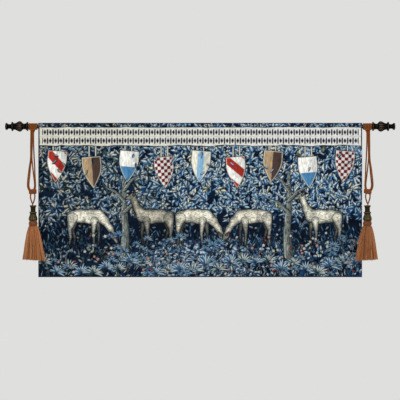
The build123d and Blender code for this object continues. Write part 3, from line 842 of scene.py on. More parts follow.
BLACK, NAVY, DEEP, BLUE = dyes((11, 16, 25), (24, 42, 66), (46, 88, 130), (90, 138, 178))
SKY, PALE, CREAM, WHITE = dyes((150, 186, 214), (196, 213, 224), (232, 229, 212), (240, 239, 233))
TEAL, OLIVE, BARK, TAN = dyes((64, 94, 98), (118, 126, 100), (140, 143, 134), (178, 152, 118))
RED, MAROON, BROWN, PINK = dyes((172, 56, 44), (88, 24, 28), (92, 70, 60), (216, 164, 150))

CELL_Y, CELL_X = (grid.astype(np.float32) + 0.5 for grid in np.mgrid[0:CELLS_H, 0:CELLS_W])
picture = np.zeros((CELLS_H, CELLS_W, 3), np.float32)


def inside(edge, blur=1.3):
    """1 within an outline, 0 outside, from the signed distance to it."""
    return np.clip(0.5 - edge / blur, 0.0, 1.0)


def blend_to(a, b, t):
    return a + (b - a) * t


def soft_noise(cell_x, cell_y, seed):
    """Smooth noise over the whole cloth, 0 to 1, with blobs of that size."""
    grid = np.random.default_rng(seed).random((int(CELLS_H / cell_y) + 3, int(CELLS_W / cell_x) + 3))
    u, v = np.arange(CELLS_W) / cell_x, np.arange(CELLS_H) / cell_y
    iu, iv = u.astype(int), v.astype(int)
    fu, fv = u - iu, v - iv
    fu, fv = fu * fu * (3 - 2 * fu), (fv * fv * (3 - 2 * fv))[:, None]
    across = grid[:, iu] * (1 - fu) + grid[:, iu + 1] * fu
    return (across[iv] * (1 - fv) + across[iv + 1] * fv).astype(np.float32)


MOTTLE, FLECK = soft_noise(6, 4.5, 1), soft_noise(2.4, 2.2, 2)
STREAK, MUSCLE = soft_noise(3, 12, 3), soft_noise(17, 22, 4)


def patch(x0, y0, x1, y1):
    """The cells of a rectangle, and their x and y."""
    rows = slice(max(0, int(y0)), max(0, min(CELLS_H, int(y1) + 1)))
    cols = slice(max(0, int(x0)), max(0, min(CELLS_W, int(x1) + 1)))
    return (rows, cols), CELL_X[rows, cols], CELL_Y[rows, cols]


def lay(where, cover, colour):
    spot = picture[where]
    spot += (colour - spot) * cover[..., None]


def capsule(x, y, a, b, ra, rb):
    """Distance to a limb from a to b whose radius runs from ra to rb."""
    dx, dy = b[0] - a[0], b[1] - a[1]
    t = np.clip(((x - a[0]) * dx + (y - a[1]) * dy) / (dx * dx + dy * dy + 1e-9), 0, 1)
    return np.hypot(x - a[0] - t * dx, y - a[1] - t * dy) - (ra + (rb - ra) * t)


def merge(a, b, k):
    """Two outlines joined with a fillet."""
    h = np.clip(0.5 + 0.5 * (b - a) / k, 0, 1)
    return b + (a - b) * h - k * h * (1 - h)


def joined(x, y, chain, fillet):
    """Distance to a chain of (x, y, radius) points, its spans joined with a fillet."""
    shape = None
    for a, b in zip(chain, chain[1:]):
        part = capsule(x, y, a, b, a[2], b[2])
        shape = part if shape is None else merge(shape, part, fillet)
    return shape


def leaf(x, y, angle, length, width, curl, body, light, lobes=0, outline=1.2):
    """A pointed leaf: dark outline and rib, one half in its body colour, the other catching the light."""
    reach = length * (0.55 + abs(curl) * 0.6) + width + 2
    middle = (x + math.cos(angle) * length / 2, y + math.sin(angle) * length / 2)
    where, px, py = patch(middle[0] - reach, middle[1] - reach, middle[0] + reach, middle[1] + reach)
    if px.size == 0:
        return
    ca, sa = math.cos(angle), math.sin(angle)
    t = ((px - x) * ca + (py - y) * sa) / length
    s = (py - y) * ca - (px - x) * sa - curl * length * t * t
    run = np.clip(t, 0, 1)
    wide = width * np.clip(np.sin(math.pi * run**0.75), 0, 1) ** 0.8
    if lobes:
        wide = wide * (0.80 + 0.20 * np.cos(2 * math.pi * lobes * run))
    edge = np.maximum(np.abs(s) - wide, np.maximum(-t, t - 1) * length)
    lay(where, inside(edge - outline, 1.5), BLACK)
    upper = -1 if ca > -0.2 else 1
    lit = np.clip(0.5 + upper * s / 1.6, 0, 1)[..., None]
    fade = (0.80 + 0.34 * run)[..., None]
    lay(where, inside(edge), (body * (1 - lit) + light * lit) * fade)
    lay(where, inside(np.abs(s + upper * 0.8) - 0.25) * inside(edge) * 0.7 * (t < 0.8), body * 0.3)


def leaf_colours(x):
    """Body and light of a leaf: darker and greener to the left, bluer and paler to the right."""
    right = min(1.0, max(0.0, (x - 220) / 420))
    choices = ((blend_to(TEAL, DEEP, right), blend_to(CREAM, PALE, right * 0.4)),
               (DEEP, blend_to(SKY, CREAM, rng.random() * 0.8)),
               (BLUE, blend_to(PALE, CREAM, rng.random() * 0.6)), (OLIVE, CREAM),
               (NAVY, blend_to(TEAL, SKY, right)))
    body, light = choices[rng.choice(5, p=(0.26, 0.28, 0.26, 0.08, 0.12))]
    return body * (0.66 + 0.34 * right), light * (0.84 + 0.16 * right)


def verdure(x0, x1, y0, y1, count, size):
    """Sprays of curling lobed leaves."""
    for n in range(count):
        x, y, lean = rng.uniform(x0, x1), rng.uniform(y0, y1), rng.uniform(0, 2 * math.pi)
        blades = rng.integers(2, 5)
        curl = rng.choice((-1, 1)) * rng.uniform(0.2, 0.45)
        body, light = leaf_colours(x)
        for k in range(blades):
            leaf(x, y, lean + (k - blades / 2) * rng.uniform(0.6, 0.95), rng.uniform(0.7, 1.15) * size,
                 rng.uniform(0.16, 0.26) * size, curl * rng.uniform(0.4, 1.3), body, light, lobes=3,
                 outline=2.0)


def sparks(x0, x1, y0, y1, count, size, bright=1.0):
    """Small single leaves that catch the light, and dark ones between them."""
    for n in range(count):
        x, y = rng.uniform(x0, x1), rng.uniform(y0, y1)
        body, light = leaf_colours(x)
        if rng.random() < 0.34:
            body, light = BLACK, NAVY
        leaf(x, y, rng.uniform(0, 2 * math.pi), rng.uniform(0.7, 1.3) * size, rng.uniform(0.22, 0.32) * size,
             rng.uniform(-0.6, 0.6), blend_to(body, light, 0.5) * bright, light * bright, outline=1.6)


BARK_TONE = 0.9


def limb(points, radii, phase):
    """A tree's trunk or branch through the points, streaked along its length and lit from the left."""
    xs, ys, big = [p[0] for p in points], [p[1] for p in points], max(radii) + 6
    where, px, py = patch(min(xs) - big, min(ys) - big, max(xs) + big, max(ys) + big)
    edge, offset = np.full(px.shape, 1e9), np.zeros(px.shape)
    for a, b, ra, rb in zip(points, points[1:], radii, radii[1:]):
        d = capsule(px, py, a, b, ra, rb)
        side = ((px - a[0]) * (b[1] - a[1]) - (py - a[1]) * (b[0] - a[0])) / math.dist(a, b)
        offset, edge = np.where(d < edge, side, offset), np.minimum(edge, d)
    grain = np.sin(offset * 0.9 + STREAK[where] * 7 + phase)
    lit = np.clip(0.55 + offset / (2 * max(radii)), 0, 1)
    lay(where, inside(edge - 1.6, 2.0), BLACK)
    lay(where, inside(edge), BARK * BARK_TONE * ((0.48 + 0.75 * lit) * (1 + 0.34 * grain))[..., None])
    lay(where, inside(edge) * np.clip(grain - 0.7, 0, 1) * 1.8 * lit, CREAM * BARK_TONE)


SPOTS = 0.6                 # how much darker a coat's specks are


def hind(coat, torso, neck, legs, scale):
    """A plain hind of rounded limbs, each a chain of (x, y, radius).

    Legs run from the hip or shoulder down, far ones first; scale is the height of the back."""
    every = [(p[0], p[1]) for p in torso + neck] + [(p[0], p[1]) for chain in legs for p in chain]
    xs, ys = [p[0] for p in every], [p[1] for p in every]
    where, px, py = patch(min(xs) - 34, min(ys) - 42, max(xs) + 34, max(ys) + 14)
    shapes = [joined(px, py, chain, 0.018 * scale) for chain in legs]
    mass = joined(px, py, torso + neck, 0.07 * scale)
    poll = neck[-2]
    facing = 1 if neck[-1][0] > poll[0] else -1
    root = (poll[0] - facing * 2, poll[1] - 3)
    tips = [(poll[0] - facing * (8 + 5 * k), poll[1] - 0.12 * scale + 5 * k) for k in (0, 1)]
    ears = [capsule(px, py, root, tip, 0.024 * scale, 0.006 * scale) for tip in tips]
    low, high = max(ys), min(ys)
    parts = [(leg, 0.66) for leg in shapes[:2]] + [(ears[0], 0.8), (mass, 1.0), (ears[1], 0.95)]
    parts += [(leg, 1.0) for leg in shapes[2:]]
    for edge, dim in parts:
        near_leg = dim == 1.0 and edge is not mass
        within = np.clip(-mass / (0.05 * scale), 0, 1) if near_leg else 0 * mass
        lay(where, inside(edge - 2.4, 2.0) * (1 - 0.35 * within), BLACK)
        deep = np.clip(-edge / (0.075 * scale), 0, 1) ** 0.6
        deep = np.maximum(deep, 0.8 * within)
        speck = np.clip((FLECK[where] + MOTTLE[where] - 1.0) * 2.4, 0, 1) * SPOTS
        form = 0.80 + 0.40 * MUSCLE[where]
        stroke = np.sin((px * 0.35 + py) * 0.85 + 7 * MUSCLE[where])
        hatch = 1 - 0.30 * np.clip(stroke - 0.25, 0, 1) * (FLECK[where] > 0.35)
        shade = 0.20 * np.clip((py - high) / (low - high), 0, 1)
        lit = hatch * (0.42 + 0.68 * deep - shade) * form * (1 - 0.5 * speck)
        lay(where, inside(edge, 1.5), coat * (dim * lit)[..., None])
    eye = blend_to(np.array(neck[-2][:2]), np.array(neck[-1][:2]), 0.3)
    lay(where, inside(np.hypot(px - eye[0], py - eye[1]) - 0.013 * scale), BLACK)


RIM_W = 3


def heater(x, y, w, h, tilt, field):
    """A flat-topped shield drawn in to a point; field(u, v) gives its colours, -1 to 1 across and down."""
    half = 0.62 * math.hypot(w, h)
    where, px, py = patch(x - half, y - half, x + half, y + half)
    ca, sa = math.cos(tilt), math.sin(tilt)
    u = ((px - x) * ca + (py - y) * sa) / (w / 2)
    v = ((py - y) * ca - (px - x) * sa) / (h / 2)
    wide = (1 - np.clip((v + 0.45) / 1.45, 0, 1) ** 1.7) * (1 - 0.05 * np.clip(-v, 0, 1))
    edge = np.maximum((np.abs(u) - wide) * w / 2 * 0.85, (np.abs(v) - 1) * h / 2)
    shade = (1.06 - 0.16 * np.clip(0.4 + u * 0.7, 0, 1)) * (0.84 + 0.28 * STREAK[where])
    lay(where, inside(edge - 2.2, 2.0), BLACK)
    lay(where, inside(edge), field(u, v) * shade[..., None])
    lay(where, inside(-edge - RIM_W) * inside(edge) * 0.85, CREAM * (0.8 + 0.3 * FLECK[where])[..., None])


def split(test, a, b):
    """A field of two colours."""
    def field(u, v):
        return np.where(test(u, v)[..., None], a, b)
    return field


def flower(x, y, r, colour):
    where, px, py = patch(x - r - 4, y - r - 4, x + r + 4, y + r + 4)
    away = np.hypot(px - x, py - y)
    edge = away - r * (0.74 + 0.26 * np.cos(np.arctan2(py - y, px - x) * 5 + x))
    lay(where, inside(edge - 1.5, 1.8), BLACK)
    lay(where, inside(edge), colour * (1.08 - 0.3 * np.clip(away / r, 0, 1))[..., None])
    lay(where, inside(away - r * 0.25), OLIVE)


def rosette(x, y, size, blades, body, light):
    """Strap leaves springing from one root."""
    lean = rng.uniform(-0.3, 0.3)
    for k in range(blades):
        out = k / (blades - 1) - 0.5
        leaf(x, y, -math.pi / 2 + lean + out * 2.9 + rng.uniform(-0.1, 0.1), size * rng.uniform(0.75, 1.1),
             size * 0.10, out * 0.5, body, light)


def turf(x0, x1, y0, y1, count, size, lean, colours):
    for n in range(count):
        tone = colours[rng.integers(len(colours))]
        leaf(rng.uniform(x0, x1), rng.uniform(y0, y1), lean + rng.uniform(-0.7, 0.7),
             rng.uniform(0.6, 1.2) * size, rng.uniform(1.5, 2.8), rng.uniform(-0.5, 0.5),
             tone * 0.5, tone * 1.06, outline=1.5)


BAND_TOP, BAND_MIDDLE, BAND_BOTTOM = 20.0, 60.0, 100.0
FRIEZE_REPEAT, FRIEZE_H = 24, 31
FRIEZE_LEFT, FRIEZE_RIGHT = 17, 1433
INK = np.array((26, 28, 42), np.float32)


def frieze(top):
    """An even border: lancets and lozenges by turns."""
    where, px, py = patch(FRIEZE_LEFT, top - 2, FRIEZE_RIGHT, top + FRIEZE_H + 2)
    half = FRIEZE_REPEAT / 2
    away = np.abs(py - top - FRIEZE_H / 2)
    from_lozenge = np.abs((px - FRIEZE_LEFT) % FRIEZE_REPEAT - half)
    rise = np.clip(away / (FRIEZE_H * 0.46), 0, 1)
    lancet = np.maximum(half - from_lozenge - 3.2 * (1 - rise**5) ** 0.5, away - FRIEZE_H * 0.46)
    lozenge = from_lozenge + away * 0.55 - 6.5
    lay(where, inside(np.minimum(lancet, lozenge)) * 0.94, INK)


def banner():
    """The long cream band under the top edge, with two rows of border ornament."""
    top, middle, bottom = BAND_TOP, BAND_MIDDLE, BAND_BOTTOM
    where, px, py = patch(0, top - 8, CELLS_W, bottom + 8)
    fray = (soft_noise(26, 9, 71)[where] - 0.5) * 5 + 1.6 * np.sin(px / 37.0)
    edge = np.maximum(np.maximum(top + fray * 0.6 - py, py - bottom - fray),
                      np.maximum(5 + fray * 0.5 - px, px - CELLS_W + 6 - fray * 0.5))
    lay(where, inside(edge - 2.6, 2.2), BLACK * 1.4)
    tone = blend_to(CREAM * 0.96, WHITE * 0.95, np.clip(px / CELLS_W * 1.3, 0, 1)[..., None])
    lay(where, inside(edge), tone * (0.90 + 0.16 * MOTTLE[where])[..., None])
    frieze(top + 6)
    frieze(middle + 4)
    lay(where, inside(np.abs(py - middle - 0.4 - fray * 0.2) - 0.7) * inside(edge + 2) * 0.5, BARK)


def ground():
    """Turf along the foot, and a stream from the middle of the picture."""
    where, px, py = patch(0, 470, CELLS_W, CELLS_H)
    right = np.clip((px - 300) / 400, 0, 1)[..., None]
    turf_cover = np.clip((py - 520) / 50, 0, 1) * 0.8
    lay(where, turf_cover, blend_to(NAVY * 0.9, DEEP * 0.95, right) * (0.5 + 0.8 * MOTTLE[where])[..., None])
    shore = 560 - 46 * np.exp(-(((px - 700) / 300) ** 2)) + 14 * MOTTLE[where]
    stream = np.clip((py - shore) / 26, 0, 1) * np.clip((px - 330) / 240, 0, 1)
    stream = stream * np.clip((1060 - px) / 160, 0, 1)
    flow = soft_noise(46, 6, 32)[where] * 0.6 + soft_noise(15, 3.5, 33)[where] * 0.4
    wave = np.sin((py + 16 * np.sin(px / 70.0)) * 0.36 + flow * 11)
    crest = np.clip(0.50 + 0.56 * wave, 0, 1)[..., None]
    tone = blend_to(np.array((40, 56, 80)), np.array((184, 202, 220)), crest)
    lay(where, stream, tone)
    lay(where, stream * np.clip(wave - 0.5, 0, 1) * (flow > 0.5), CREAM)


# A hind of unit height, facing right, as (x, height, radius) chains: its torso, two ways to hold its neck and
# head, and four legs.
TORSO = ((-0.36, 0.72, 0.14), (-0.15, 0.74, 0.15), (0.10, 0.72, 0.17), (0.30, 0.74, 0.14))
GRAZING = ((0.46, 0.62, 0.10), (0.60, 0.42, 0.065), (0.68, 0.24, 0.06), (0.76, 0.08, 0.03))
ALERT = ((0.42, 0.92, 0.09), (0.50, 1.10, 0.065), (0.54, 1.24, 0.06), (0.70, 1.18, 0.028))
LEGS = (
    ((-0.30, 0.66, 0.10), (-0.36, 0.40, 0.045), (-0.29, 0.20, 0.024), (-0.31, 0.02, 0.020)),
    ((0.28, 0.60, 0.07), (0.32, 0.32, 0.030), (0.30, 0.02, 0.020)),
    ((-0.36, 0.68, 0.13), (-0.42, 0.40, 0.050), (-0.40, 0.20, 0.026), (-0.43, 0.02, 0.021)),
    ((0.20, 0.62, 0.09), (0.17, 0.32, 0.034), (0.19, 0.02, 0.021)),
)
# The herd: where each stands, which way it faces, its neck and its coat.
HERD = ((215, 1, GRAZING, (236, 231, 212)), (520, -1, ALERT, (196, 188, 168)),
        (700, 1, GRAZING, (228, 222, 202)), (960, -1, GRAZING, (220, 214, 196)),
        (1275, -1, ALERT, (232, 227, 208)))
HIND_TALL, HIND_FOOT = 178, 548
# Where each tree stands and which way it leans; each bough's height on the trunk and its reach.
TREES = ((385, 1), (1120, -1))
BOUGHS = ((400, 90), (350, -84), (300, 64))


def tree(x, lean, number):
    """A plain trunk with three boughs."""
    limb(((x, 590), (x + 6 * lean, 480), (x - 4 * lean, 350), (x, 230)), (21, 15, 12, 6), number)
    for foot, reach in BOUGHS:
        out = lean * reach
        limb(((x, foot), (x + out * 0.5, foot - 44), (x + out, foot - 62)), (8, 5, 3), number)


FIELDS = (
    split(lambda u, v: np.sin((v - 0.6 * u) * 1.5 * math.pi) > 0, WHITE, RED),
    split(lambda u, v: u > 0, BROWN, TAN),
    split(lambda u, v: v > 0, BLUE, WHITE),
    split(lambda u, v: (np.floor(u * 3 + 9) + np.floor(v * 5 + 9)) % 2 == 0, WHITE * 0.92, MAROON * 1.3),
    split(lambda u, v: np.abs(u) < 0.33, SKY, CREAM),
)
SHIELDS = 9
SHIELD_W, SHIELD_H = 88, 140

ROSETTES = 26
# Flowers: count, least and most radius, colour.
FLOWERS = ((26, 5, 8, PINK), (22, 4, 7, RED), (24, 5, 8, CREAM), (22, 5, 8, WHITE))
# The dyes' depth: powers that darken red most and blue least.
DYE = (1.16, 1.10, 1.05)


def paint_leaves():
    """Leaves over the whole dark field, with a darker hollow behind each hind, and turf along the foot."""
    verdure(-10, 1460, -8, 440, 620, 50)
    verdure(-10, 1460, -8, 420, 560, 36)
    verdure(-10, 1460, -12, 34, 120, 26)
    sparks(-5, 1455, -5, 440, 560, 19)
    sparks(330, 1455, -5, 400, 300, 18, 1.06)
    for x, *_ in HERD:
        where, px, py = patch(x - 130, 380, x + 130, 520)
        lay(where, np.clip(1.3 - np.hypot((px - x) / 130, (py - 450) / 70) * 1.3, 0, 0.80), BLACK * 1.2)
    sparks(0, 1450, 420, 560, 520, 15, 0.74)
    ground()
    turf(0, 480, 560, 700, 460, 30, -1.5, (TEAL, DEEP, OLIVE, PALE * 0.9, BLACK))
    turf(380, 1060, 590, 700, 420, 26, -1.0, (BLUE, SKY, PALE, NAVY, CREAM))
    turf(900, 1450, 520, 700, 700, 32, -1.7, (BLUE, SKY, PALE, CREAM * 0.9, NAVY, BLACK))
    turf(0, 1450, 480, 600, 640, 25, -1.6, (DEEP, BLUE, TEAL * 1.2, SKY, BLACK))
    sparks(0, 1450, 540, 686, 460, 17)


def paint_herd():
    for x, way, neck, coat in HERD:
        torso, head, *legs = (
            tuple((x + way * a * HIND_TALL, HIND_FOOT - b * HIND_TALL, r * HIND_TALL) for a, b, r in chain)
            for chain in (TORSO, neck, *LEGS))
        hind(np.array(coat, np.float32), torso, head, legs, HIND_TALL)


def paint_shields():
    """A row of shields, each hung from the band by two straps."""
    for k in range(SHIELDS):
        x, y = CELLS_W * (k + 0.5) / SHIELDS, 196 + 26 * (k % 2)
        for strap_x in (x - 15, x + 15):
            where, px, _ = patch(strap_x - 8, 98, strap_x + 8, y - 66)
            lay(where, inside(np.abs(px - strap_x) - 4.0), BLACK)
            lay(where, inside(np.abs(px - strap_x) - 2.6), CREAM * 0.92)
        heater(x, y, SHIELD_W, SHIELD_H, 0.08 * (-1) ** k, FIELDS[k % len(FIELDS)])


def paint_plants():
    """Leaves and flowers in front of everything else."""
    for n in range(90):
        x = rng.uniform(0, CELLS_W)
        body, light = leaf_colours(x)
        leaf(x, rng.uniform(110, 400), rng.uniform(0, 6.28), rng.uniform(18, 28), rng.uniform(4, 6),
             rng.uniform(-0.5, 0.5), body, light, lobes=3)
    for n in range(ROSETTES):
        body, light = ((TEAL * 1.1, blend_to(PALE, CREAM, 0.5)), (BLUE * 0.86, PALE))[n % 2]
        rosette(CELLS_W * (n + 0.5) / ROSETTES, rng.uniform(620, 678), rng.uniform(36, 54), 11, body, light)
    for n in range(54):
        rosette(rng.uniform(10, 1440), rng.uniform(500, 684), rng.uniform(17, 30), 8, BLUE * 0.9,
                blend_to(SKY, CREAM, rng.random() * 0.7))
    for count, least, most, colour in FLOWERS:
        for n in range(count):
            flower(rng.uniform(10, 1440), rng.uniform(490, 676), rng.uniform(least, most), colour)


def paint_picture():
    """A generic verdure: leaves, an even row of plain divided shields, two trees and five hinds."""
    picture[:] = blend_to(BLACK, NAVY * 1.1, soft_noise(90, 70, 5)[..., None])
    paint_leaves()
    for number, (x, lean) in enumerate(TREES):
        tree(x, lean, number)
    paint_herd()
    paint_shields()
    banner()
    paint_plants()
    rim = np.minimum(np.minimum(CELL_X, CELLS_W - CELL_X), CELL_Y)
    everywhere = patch(0, 0, CELLS_W, CELLS_H)[0]
    lay(everywhere, inside(rim - 2.0, 1.5) * 0.8, NAVY)
    lay(everywhere, inside(CELLS_H - CELL_Y - 4.5, 1.5), BLACK * 1.3)
    picture[:] = 255 * (np.clip(picture, 0, 255) / 255) ** np.array(DYE, np.float32)


# ---------------------------------------------------------------- tapestry, lining and rod sleeve

HEM_W = 14 * MM
HEM_T = 1.0 * MM
FACE_BACK = face_high.y - HEM_T


def grid_faces(nx, nz, start, away=False):
    a = (np.arange(nz)[:, None] * (nx + 1) + np.arange(nx)[None]).ravel() + start
    quads = np.stack([a, a + 1, a + nx + 2, a + nx + 1], 1)
    return (quads[:, ::-1] if away else quads).tolist()


def grid_rim(nx, nz, start):
    """The numbers of the points round a grid's edge, anticlockwise from its lower left corner."""
    wide = nx + 1
    bottom = [start + i for i in range(nx)]
    right = [start + nx + j * wide for j in range(nz)]
    top = [start + nz * wide + nx - i for i in range(nx)]
    left = [start + (nz - j) * wide for j in range(nz)]
    return bottom + right + top + left


def cloth_shell(low, high, nx, nz, coarse, front, rings, back):
    """A closed sheet: a fine front grid, rings round its edge, and a back grid with larger cells.

    low and high are (x, z) corners. front and back give y. rings are (distance in from the edge, y function).
    The back's cells are coarse times as large as the front's."""
    middle, half = (np.array(low) + high) / 2, (np.array(high) - low) / 2

    def grid(columns, rows, inset):
        gx, gz = np.meshgrid(np.linspace(-1, 1, columns + 1), np.linspace(-1, 1, rows + 1))
        return middle[0] + gx.ravel() * (half[0] - inset), middle[1] + gz.ravel() * (half[1] - inset)

    x, z = grid(nx, nz, rings[0][0] + 0.4 * MM)
    layers, faces, rim = [np.stack([x, front(x, z), z], 1)], grid_faces(nx, nz, 0), grid_rim(nx, nz, 0)
    unit_x, unit_z = ((v[rim] - mid) / np.abs(v - mid).max() for v, mid in zip((x, z), middle))
    count, around = len(x), len(rim)
    for inset, depth in rings:
        x, z = middle[0] + unit_x * (half[0] - inset), middle[1] + unit_z * (half[1] - inset)
        layers.append(np.stack([x, depth(x, z), z], 1))
        ring = list(range(count, count + around))
        faces += [(rim[i - around + 1], rim[i], ring[i], ring[i - around + 1]) for i in range(around)]
        rim, count = ring, count + around
    columns, rows = nx // coarse, nz // coarse
    x, z = grid(columns, rows, rings[-1][0] + 2 * MM)
    layers.append(np.stack([x, back(x, z), z], 1))
    faces += grid_faces(columns, rows, count, away=True)
    inner = grid_rim(columns, rows, count)
    for i in range(around):
        j = (i + coarse // 2) // coarse % len(inner)
        k = (i + 1 + coarse // 2) // coarse % len(inner)
        faces.append((rim[i - around + 1], rim[i], inner[j]))
        if k != j:
            faces.append((rim[i - around + 1], inner[j], inner[k]))
    return np.concatenate(layers), faces


CALM_X = 0.430              # past this, no fold comes forward, which keeps the cloth off the tassels


def hang(x, z):
    """How far the cloth hangs behind its flat plane, in slow shallow folds that start below the rod."""
    free = np.clip((-0.030 - z) / 0.35, 0, 1) ** 1.2
    calm = np.clip((CALM_X - np.abs(x)) / 0.06, 0, 1)
    fold = 1.3 * np.sin(9.5 * x + 0.8) + 0.8 * np.sin(21 * x + 2.0 + 3 * z) + 0.4 * np.sin(47 * x + 1 - 4 * z)
    return free * MM * (np.maximum(fold, 0) * 1.4 + np.minimum(fold, 0) * calm)


def level(y, wrinkle=0.0):
    """A surface at that depth that follows the cloth's hang, with fine wrinkles towards the wall."""
    def depth(x, z):
        creases = np.sin(61 * x + 9 * np.sin(13 * z)) * np.sin(37 * z + 5 * np.sin(9 * x)) + 1
        return y + hang(x, z) + wrinkle * creases * np.clip((-0.045 - z) / 0.05, 0, 1)
    return depth


def picture_at(x, z):
    """The picture's colour at points of the cloth, linear, each the mean of the four cells about it."""
    soft = (picture + np.roll(picture, 1, 0) + np.roll(picture, 1, 1) + np.roll(picture, (1, 1), (0, 1))) / 4
    column = np.clip((x - face_low.x) / FACE_W * CELLS_W, 0, CELLS_W - 1).astype(int)
    row = np.clip((face_high.z - z) / FACE_H * CELLS_H, 0, CELLS_H - 1).astype(int)
    return linear(*soft[row, column].T)


MEAN_TONE = 110


def make_face():
    relief = 0.10 * MM
    light = (picture.mean(2) - MEAN_TONE) / MEAN_TONE

    def front(x, z):
        column = np.clip((x - face_low.x) / MM, 0, CELLS_W - 1).astype(int)
        row = np.clip((face_high.z - z) / MM, 0, CELLS_H - 1).astype(int)
        return level(face_low.y + relief)(x, z) - relief * light[row, column]

    back = level(face_high.y)
    rings = ((0.0, level(face_low.y + 0.45 * MM)), (0.0, level(face_high.y - 0.6 * MM)),
             (0.4 * MM, level(face_high.y - 0.1 * MM)), (2.0 * MM, back), (HEM_W - 0.4 * MM, back),
             (HEM_W, level(FACE_BACK)))
    points, faces = cloth_shell((face_low.x, face_low.z), (face_high.x, face_high.z), 720, 340, 10,
                                front, rings, level(FACE_BACK))
    colours = picture_at(points[:, 0], points[:, 2])
    piece = new_object("woven_picture", points, faces, PICTURE, "panel", "woven_verdure", picture=colours)
    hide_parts("woven_face")


def make_lining():
    rings = ((0.0, level(lining_low.y + 0.3 * MM)), (0.2 * MM, level(lining_high.y - 0.1 * MM)),
             (1.5 * MM, level(lining_high.y)))
    points, faces = cloth_shell((lining_low.x, lining_low.z), (lining_high.x, lining_high.z), 280, 130, 1,
                                level(lining_low.y + 0.1 * MM), rings, level(lining_high.y, 0.35 * MM))
    piece = new_object("lining_sheet", points, faces, LINING, "panel", "lining_cloth")
    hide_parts("lining")


# The sleeve's section from its lower sewn edge up, as (y, z) from the rod's axis: it slants up to the rod's
# back, runs over it, and comes down to its upper seam.
SEAM_Y = face_high.y - ROD_Y
WRAP_R = ROD_R + 0.6 * MM
LOW_SEAM_TOP, TOP_SEAM_FOOT = -0.0290, 0.0125
WRAP_FROM, WRAP_TO = -38.0, 77.6


def sleeve_path():
    turns = np.radians(np.linspace(WRAP_FROM, WRAP_TO, 22))
    wrap = [(WRAP_R * math.cos(a), WRAP_R * math.sin(a)) for a in turns]
    path = [(SEAM_Y, sleeve_low.z), (SEAM_Y, LOW_SEAM_TOP), *wrap]
    path += [(SEAM_Y, TOP_SEAM_FOOT), (SEAM_Y, sleeve_high.z)]
    return even_line([(0, ROD_Y + y, z) for y, z in path], 0.6 * MM)


SLEEVE_T = 0.7 * MM


def flat_at(depth):
    """A surface at one depth, for cloth that is bent to its place afterwards."""
    return lambda x, s: depth + 0 * x


def make_sleeve():
    path, along = sleeve_path()
    tangent = np.gradient(path, axis=0)
    tangent /= np.linalg.norm(tangent, axis=1)[:, None]

    def bulge(x, s):
        loose = np.clip(np.minimum(s - 0.012, along[-1] - 0.008 - s) / 0.010, 0, 1)
        crease = np.sin(90 * x + 3 * np.sin(31 * x)) * np.sin(140 * s + 6 * np.sin(7 * x))
        return SLEEVE_T + loose * 0.5 * MM * (1 + crease)

    rings = ((0.0, flat_at(0.3 * MM)), (0.15 * MM, flat_at(SLEEVE_T)))
    points, faces = cloth_shell((sleeve_low.x, 0.0), (sleeve_high.x, along[-1]), 340, 58, 1,
                                flat_at(0.05 * MM), rings, bulge)
    x, depth, s = points.T
    spot = np.stack([np.interp(s, along, path[:, k]) for k in (1, 2)], 1)
    lie = np.stack([np.interp(s, along, tangent[:, k]) for k in (1, 2)], 1)
    lie /= np.linalg.norm(lie, axis=1)[:, None]
    points = np.stack([x, spot[:, 0] + lie[:, 1] * depth, spot[:, 1] - lie[:, 0] * depth], 1)
    piece = new_object("sleeve_strip", points, faces, SLEEVE, "panel", "lining_cloth")
    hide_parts("sleeve_top", "sleeve_back", "sleeve_foot")


STITCH_R = 0.55 * MM
STITCH_PROUD = 0.35 * MM
STITCH_PITCH = 11 * MM
TO_WALL = np.array((0, 1, 0))


def stitch(bundle, start, end):
    """One stitch that arches a little off the cloth, towards the wall."""
    t = np.linspace(0, 1, 5)[:, None]
    arch = np.sin(math.pi * t)
    line = np.array(start) * (1 - t) + np.array(end) * t + TO_WALL * (arch * 2 - 1) * STITCH_PROUD
    across = np.cross((np.array(end) - start) / math.dist(start, end), TO_WALL)
    angle = np.arange(6) * math.pi / 3
    ring = across * np.cos(angle)[:, None] + TO_WALL * np.sin(angle)[:, None]
    radius = STITCH_R * (0.45 + 0.55 * arch)[:, None]
    points = (line[:, None] + ring[None] * radius).reshape(-1, 3)
    bundle.add(np.vstack([points, line[0], line[-1]]), ring_faces(5, 6))


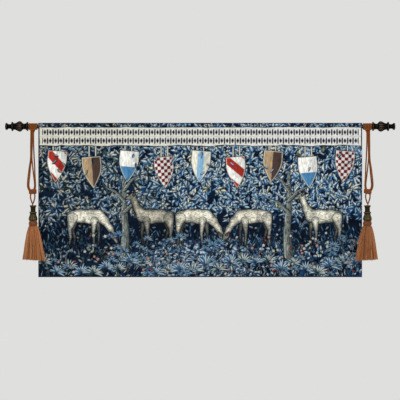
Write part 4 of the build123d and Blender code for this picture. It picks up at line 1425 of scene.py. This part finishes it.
def make_stitches():
    """Slip stitches round the lining, and a row of running stitches along each sewn edge of the sleeve."""
    bundle = Bundle()
    pitch = STITCH_PITCH
    back = level(lining_high.y + 0.1 * MM)
    for z, side in ((lining_low.z, -1), (lining_high.z, 1)):
        for x in np.arange(lining_low.x + pitch, lining_high.x - pitch, pitch):
            x += rng.uniform(-0.8, 0.8) * MM
            y = float(back(x, z))
            stitch(bundle, (x, y, z - side * 1.5 * MM), (x + 2.4 * MM, y, z + side * 1.6 * MM))
    for x, side in ((lining_low.x, -1), (lining_high.x, 1)):
        for z in np.arange(lining_low.z + pitch, lining_high.z - pitch, pitch):
            z += rng.uniform(-0.8, 0.8) * MM
            y = float(back(x, z))
            stitch(bundle, (x - side * 1.5 * MM, y, z), (x + side * 1.6 * MM, y, z + 2.4 * MM))
    outer = face_high.y + 0.75 * MM
    for z in (sleeve_low.z + 3 * MM, sleeve_high.z - 0.7 * MM):
        for x in np.arange(sleeve_low.x + 4 * MM, sleeve_high.x - 8 * MM, 7.5 * MM):
            stitch(bundle, (x, outer, z + rng.uniform(-0.25, 0.25) * MM), (x + 4.6 * MM, outer, z))
    bundle.build("lining_stitches", THREAD, "panel", "lining_cloth")


paint_picture()
make_face()
make_lining()
make_sleeve()
make_stitches()


# ---------------------------------------------------------------- CAD parts that keep their own mesh

def finish_cad(node, material):
    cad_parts[node].data.materials.clear()
    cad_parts[node].data.materials.append(material)


finish_cad("rod", ROD_FINISH)
for side, s in SIDES:
    finish_cad(f"{side}_bracket", IRON)
    finish_cad(f"{side}_finial_stud", ZINC)
    finish_cad(f"{side}_rod_insert", BRASS)
    finish_cad(f"{side}_skirt_core", WOOD)


# ---------------------------------------------------------------- floor and light

FLOOR_Z = -1.48


def make_floor():
    mesh = bpy.data.meshes.new("floor")
    corners = [(x, y, FLOOR_Z) for x, y in ((-2.5, -1.6), (2.5, -1.6), (2.5, 1.55), (-2.5, 1.55))]
    mesh.from_pydata(corners, [], [(0, 1, 2, 3)])
    mesh.materials.append(pale_floor())
    floor = bpy.data.objects.new("floor", mesh)
    bpy.context.scene.collection.objects.link(floor)


def area_light(name, place, target, size, power):
    data = bpy.data.lights.new(name, "AREA")
    data.shape = "DISK"
    data.size = size
    data.energy = power
    light = bpy.data.objects.new(name, data)
    light.location = place
    direction = [b - a for a, b in zip(place, target)]
    yaw = math.atan2(direction[1], direction[0]) - math.pi / 2
    pitch = math.atan2(direction[2], math.hypot(direction[0], direction[1])) + math.pi / 2
    light.rotation_euler = (pitch, 0, yaw)
    bpy.context.scene.collection.objects.link(light)


def make_light():
    scene = bpy.context.scene
    world = bpy.data.worlds.new("studio")
    world.use_nodes = True
    back = world.node_tree.nodes["Background"]
    back.inputs["Color"].default_value = linear(223, 223, 221)
    back.inputs["Strength"].default_value = 1.0
    scene.world = world
    middle = (0, face_low.y, -0.33)
    area_light("key", (-1.3, -3.6, 1.6), middle, 1.3, 29)
    area_light("fill", (1.5, -3.6, 0.9), middle, 1.6, 31)
    area_light("back", (0.6, 2.6, 1.6), middle, 1.6, 30)
    scene.view_settings.view_transform = "Standard"
    scene.view_settings.look = "None"


make_floor()
make_light()
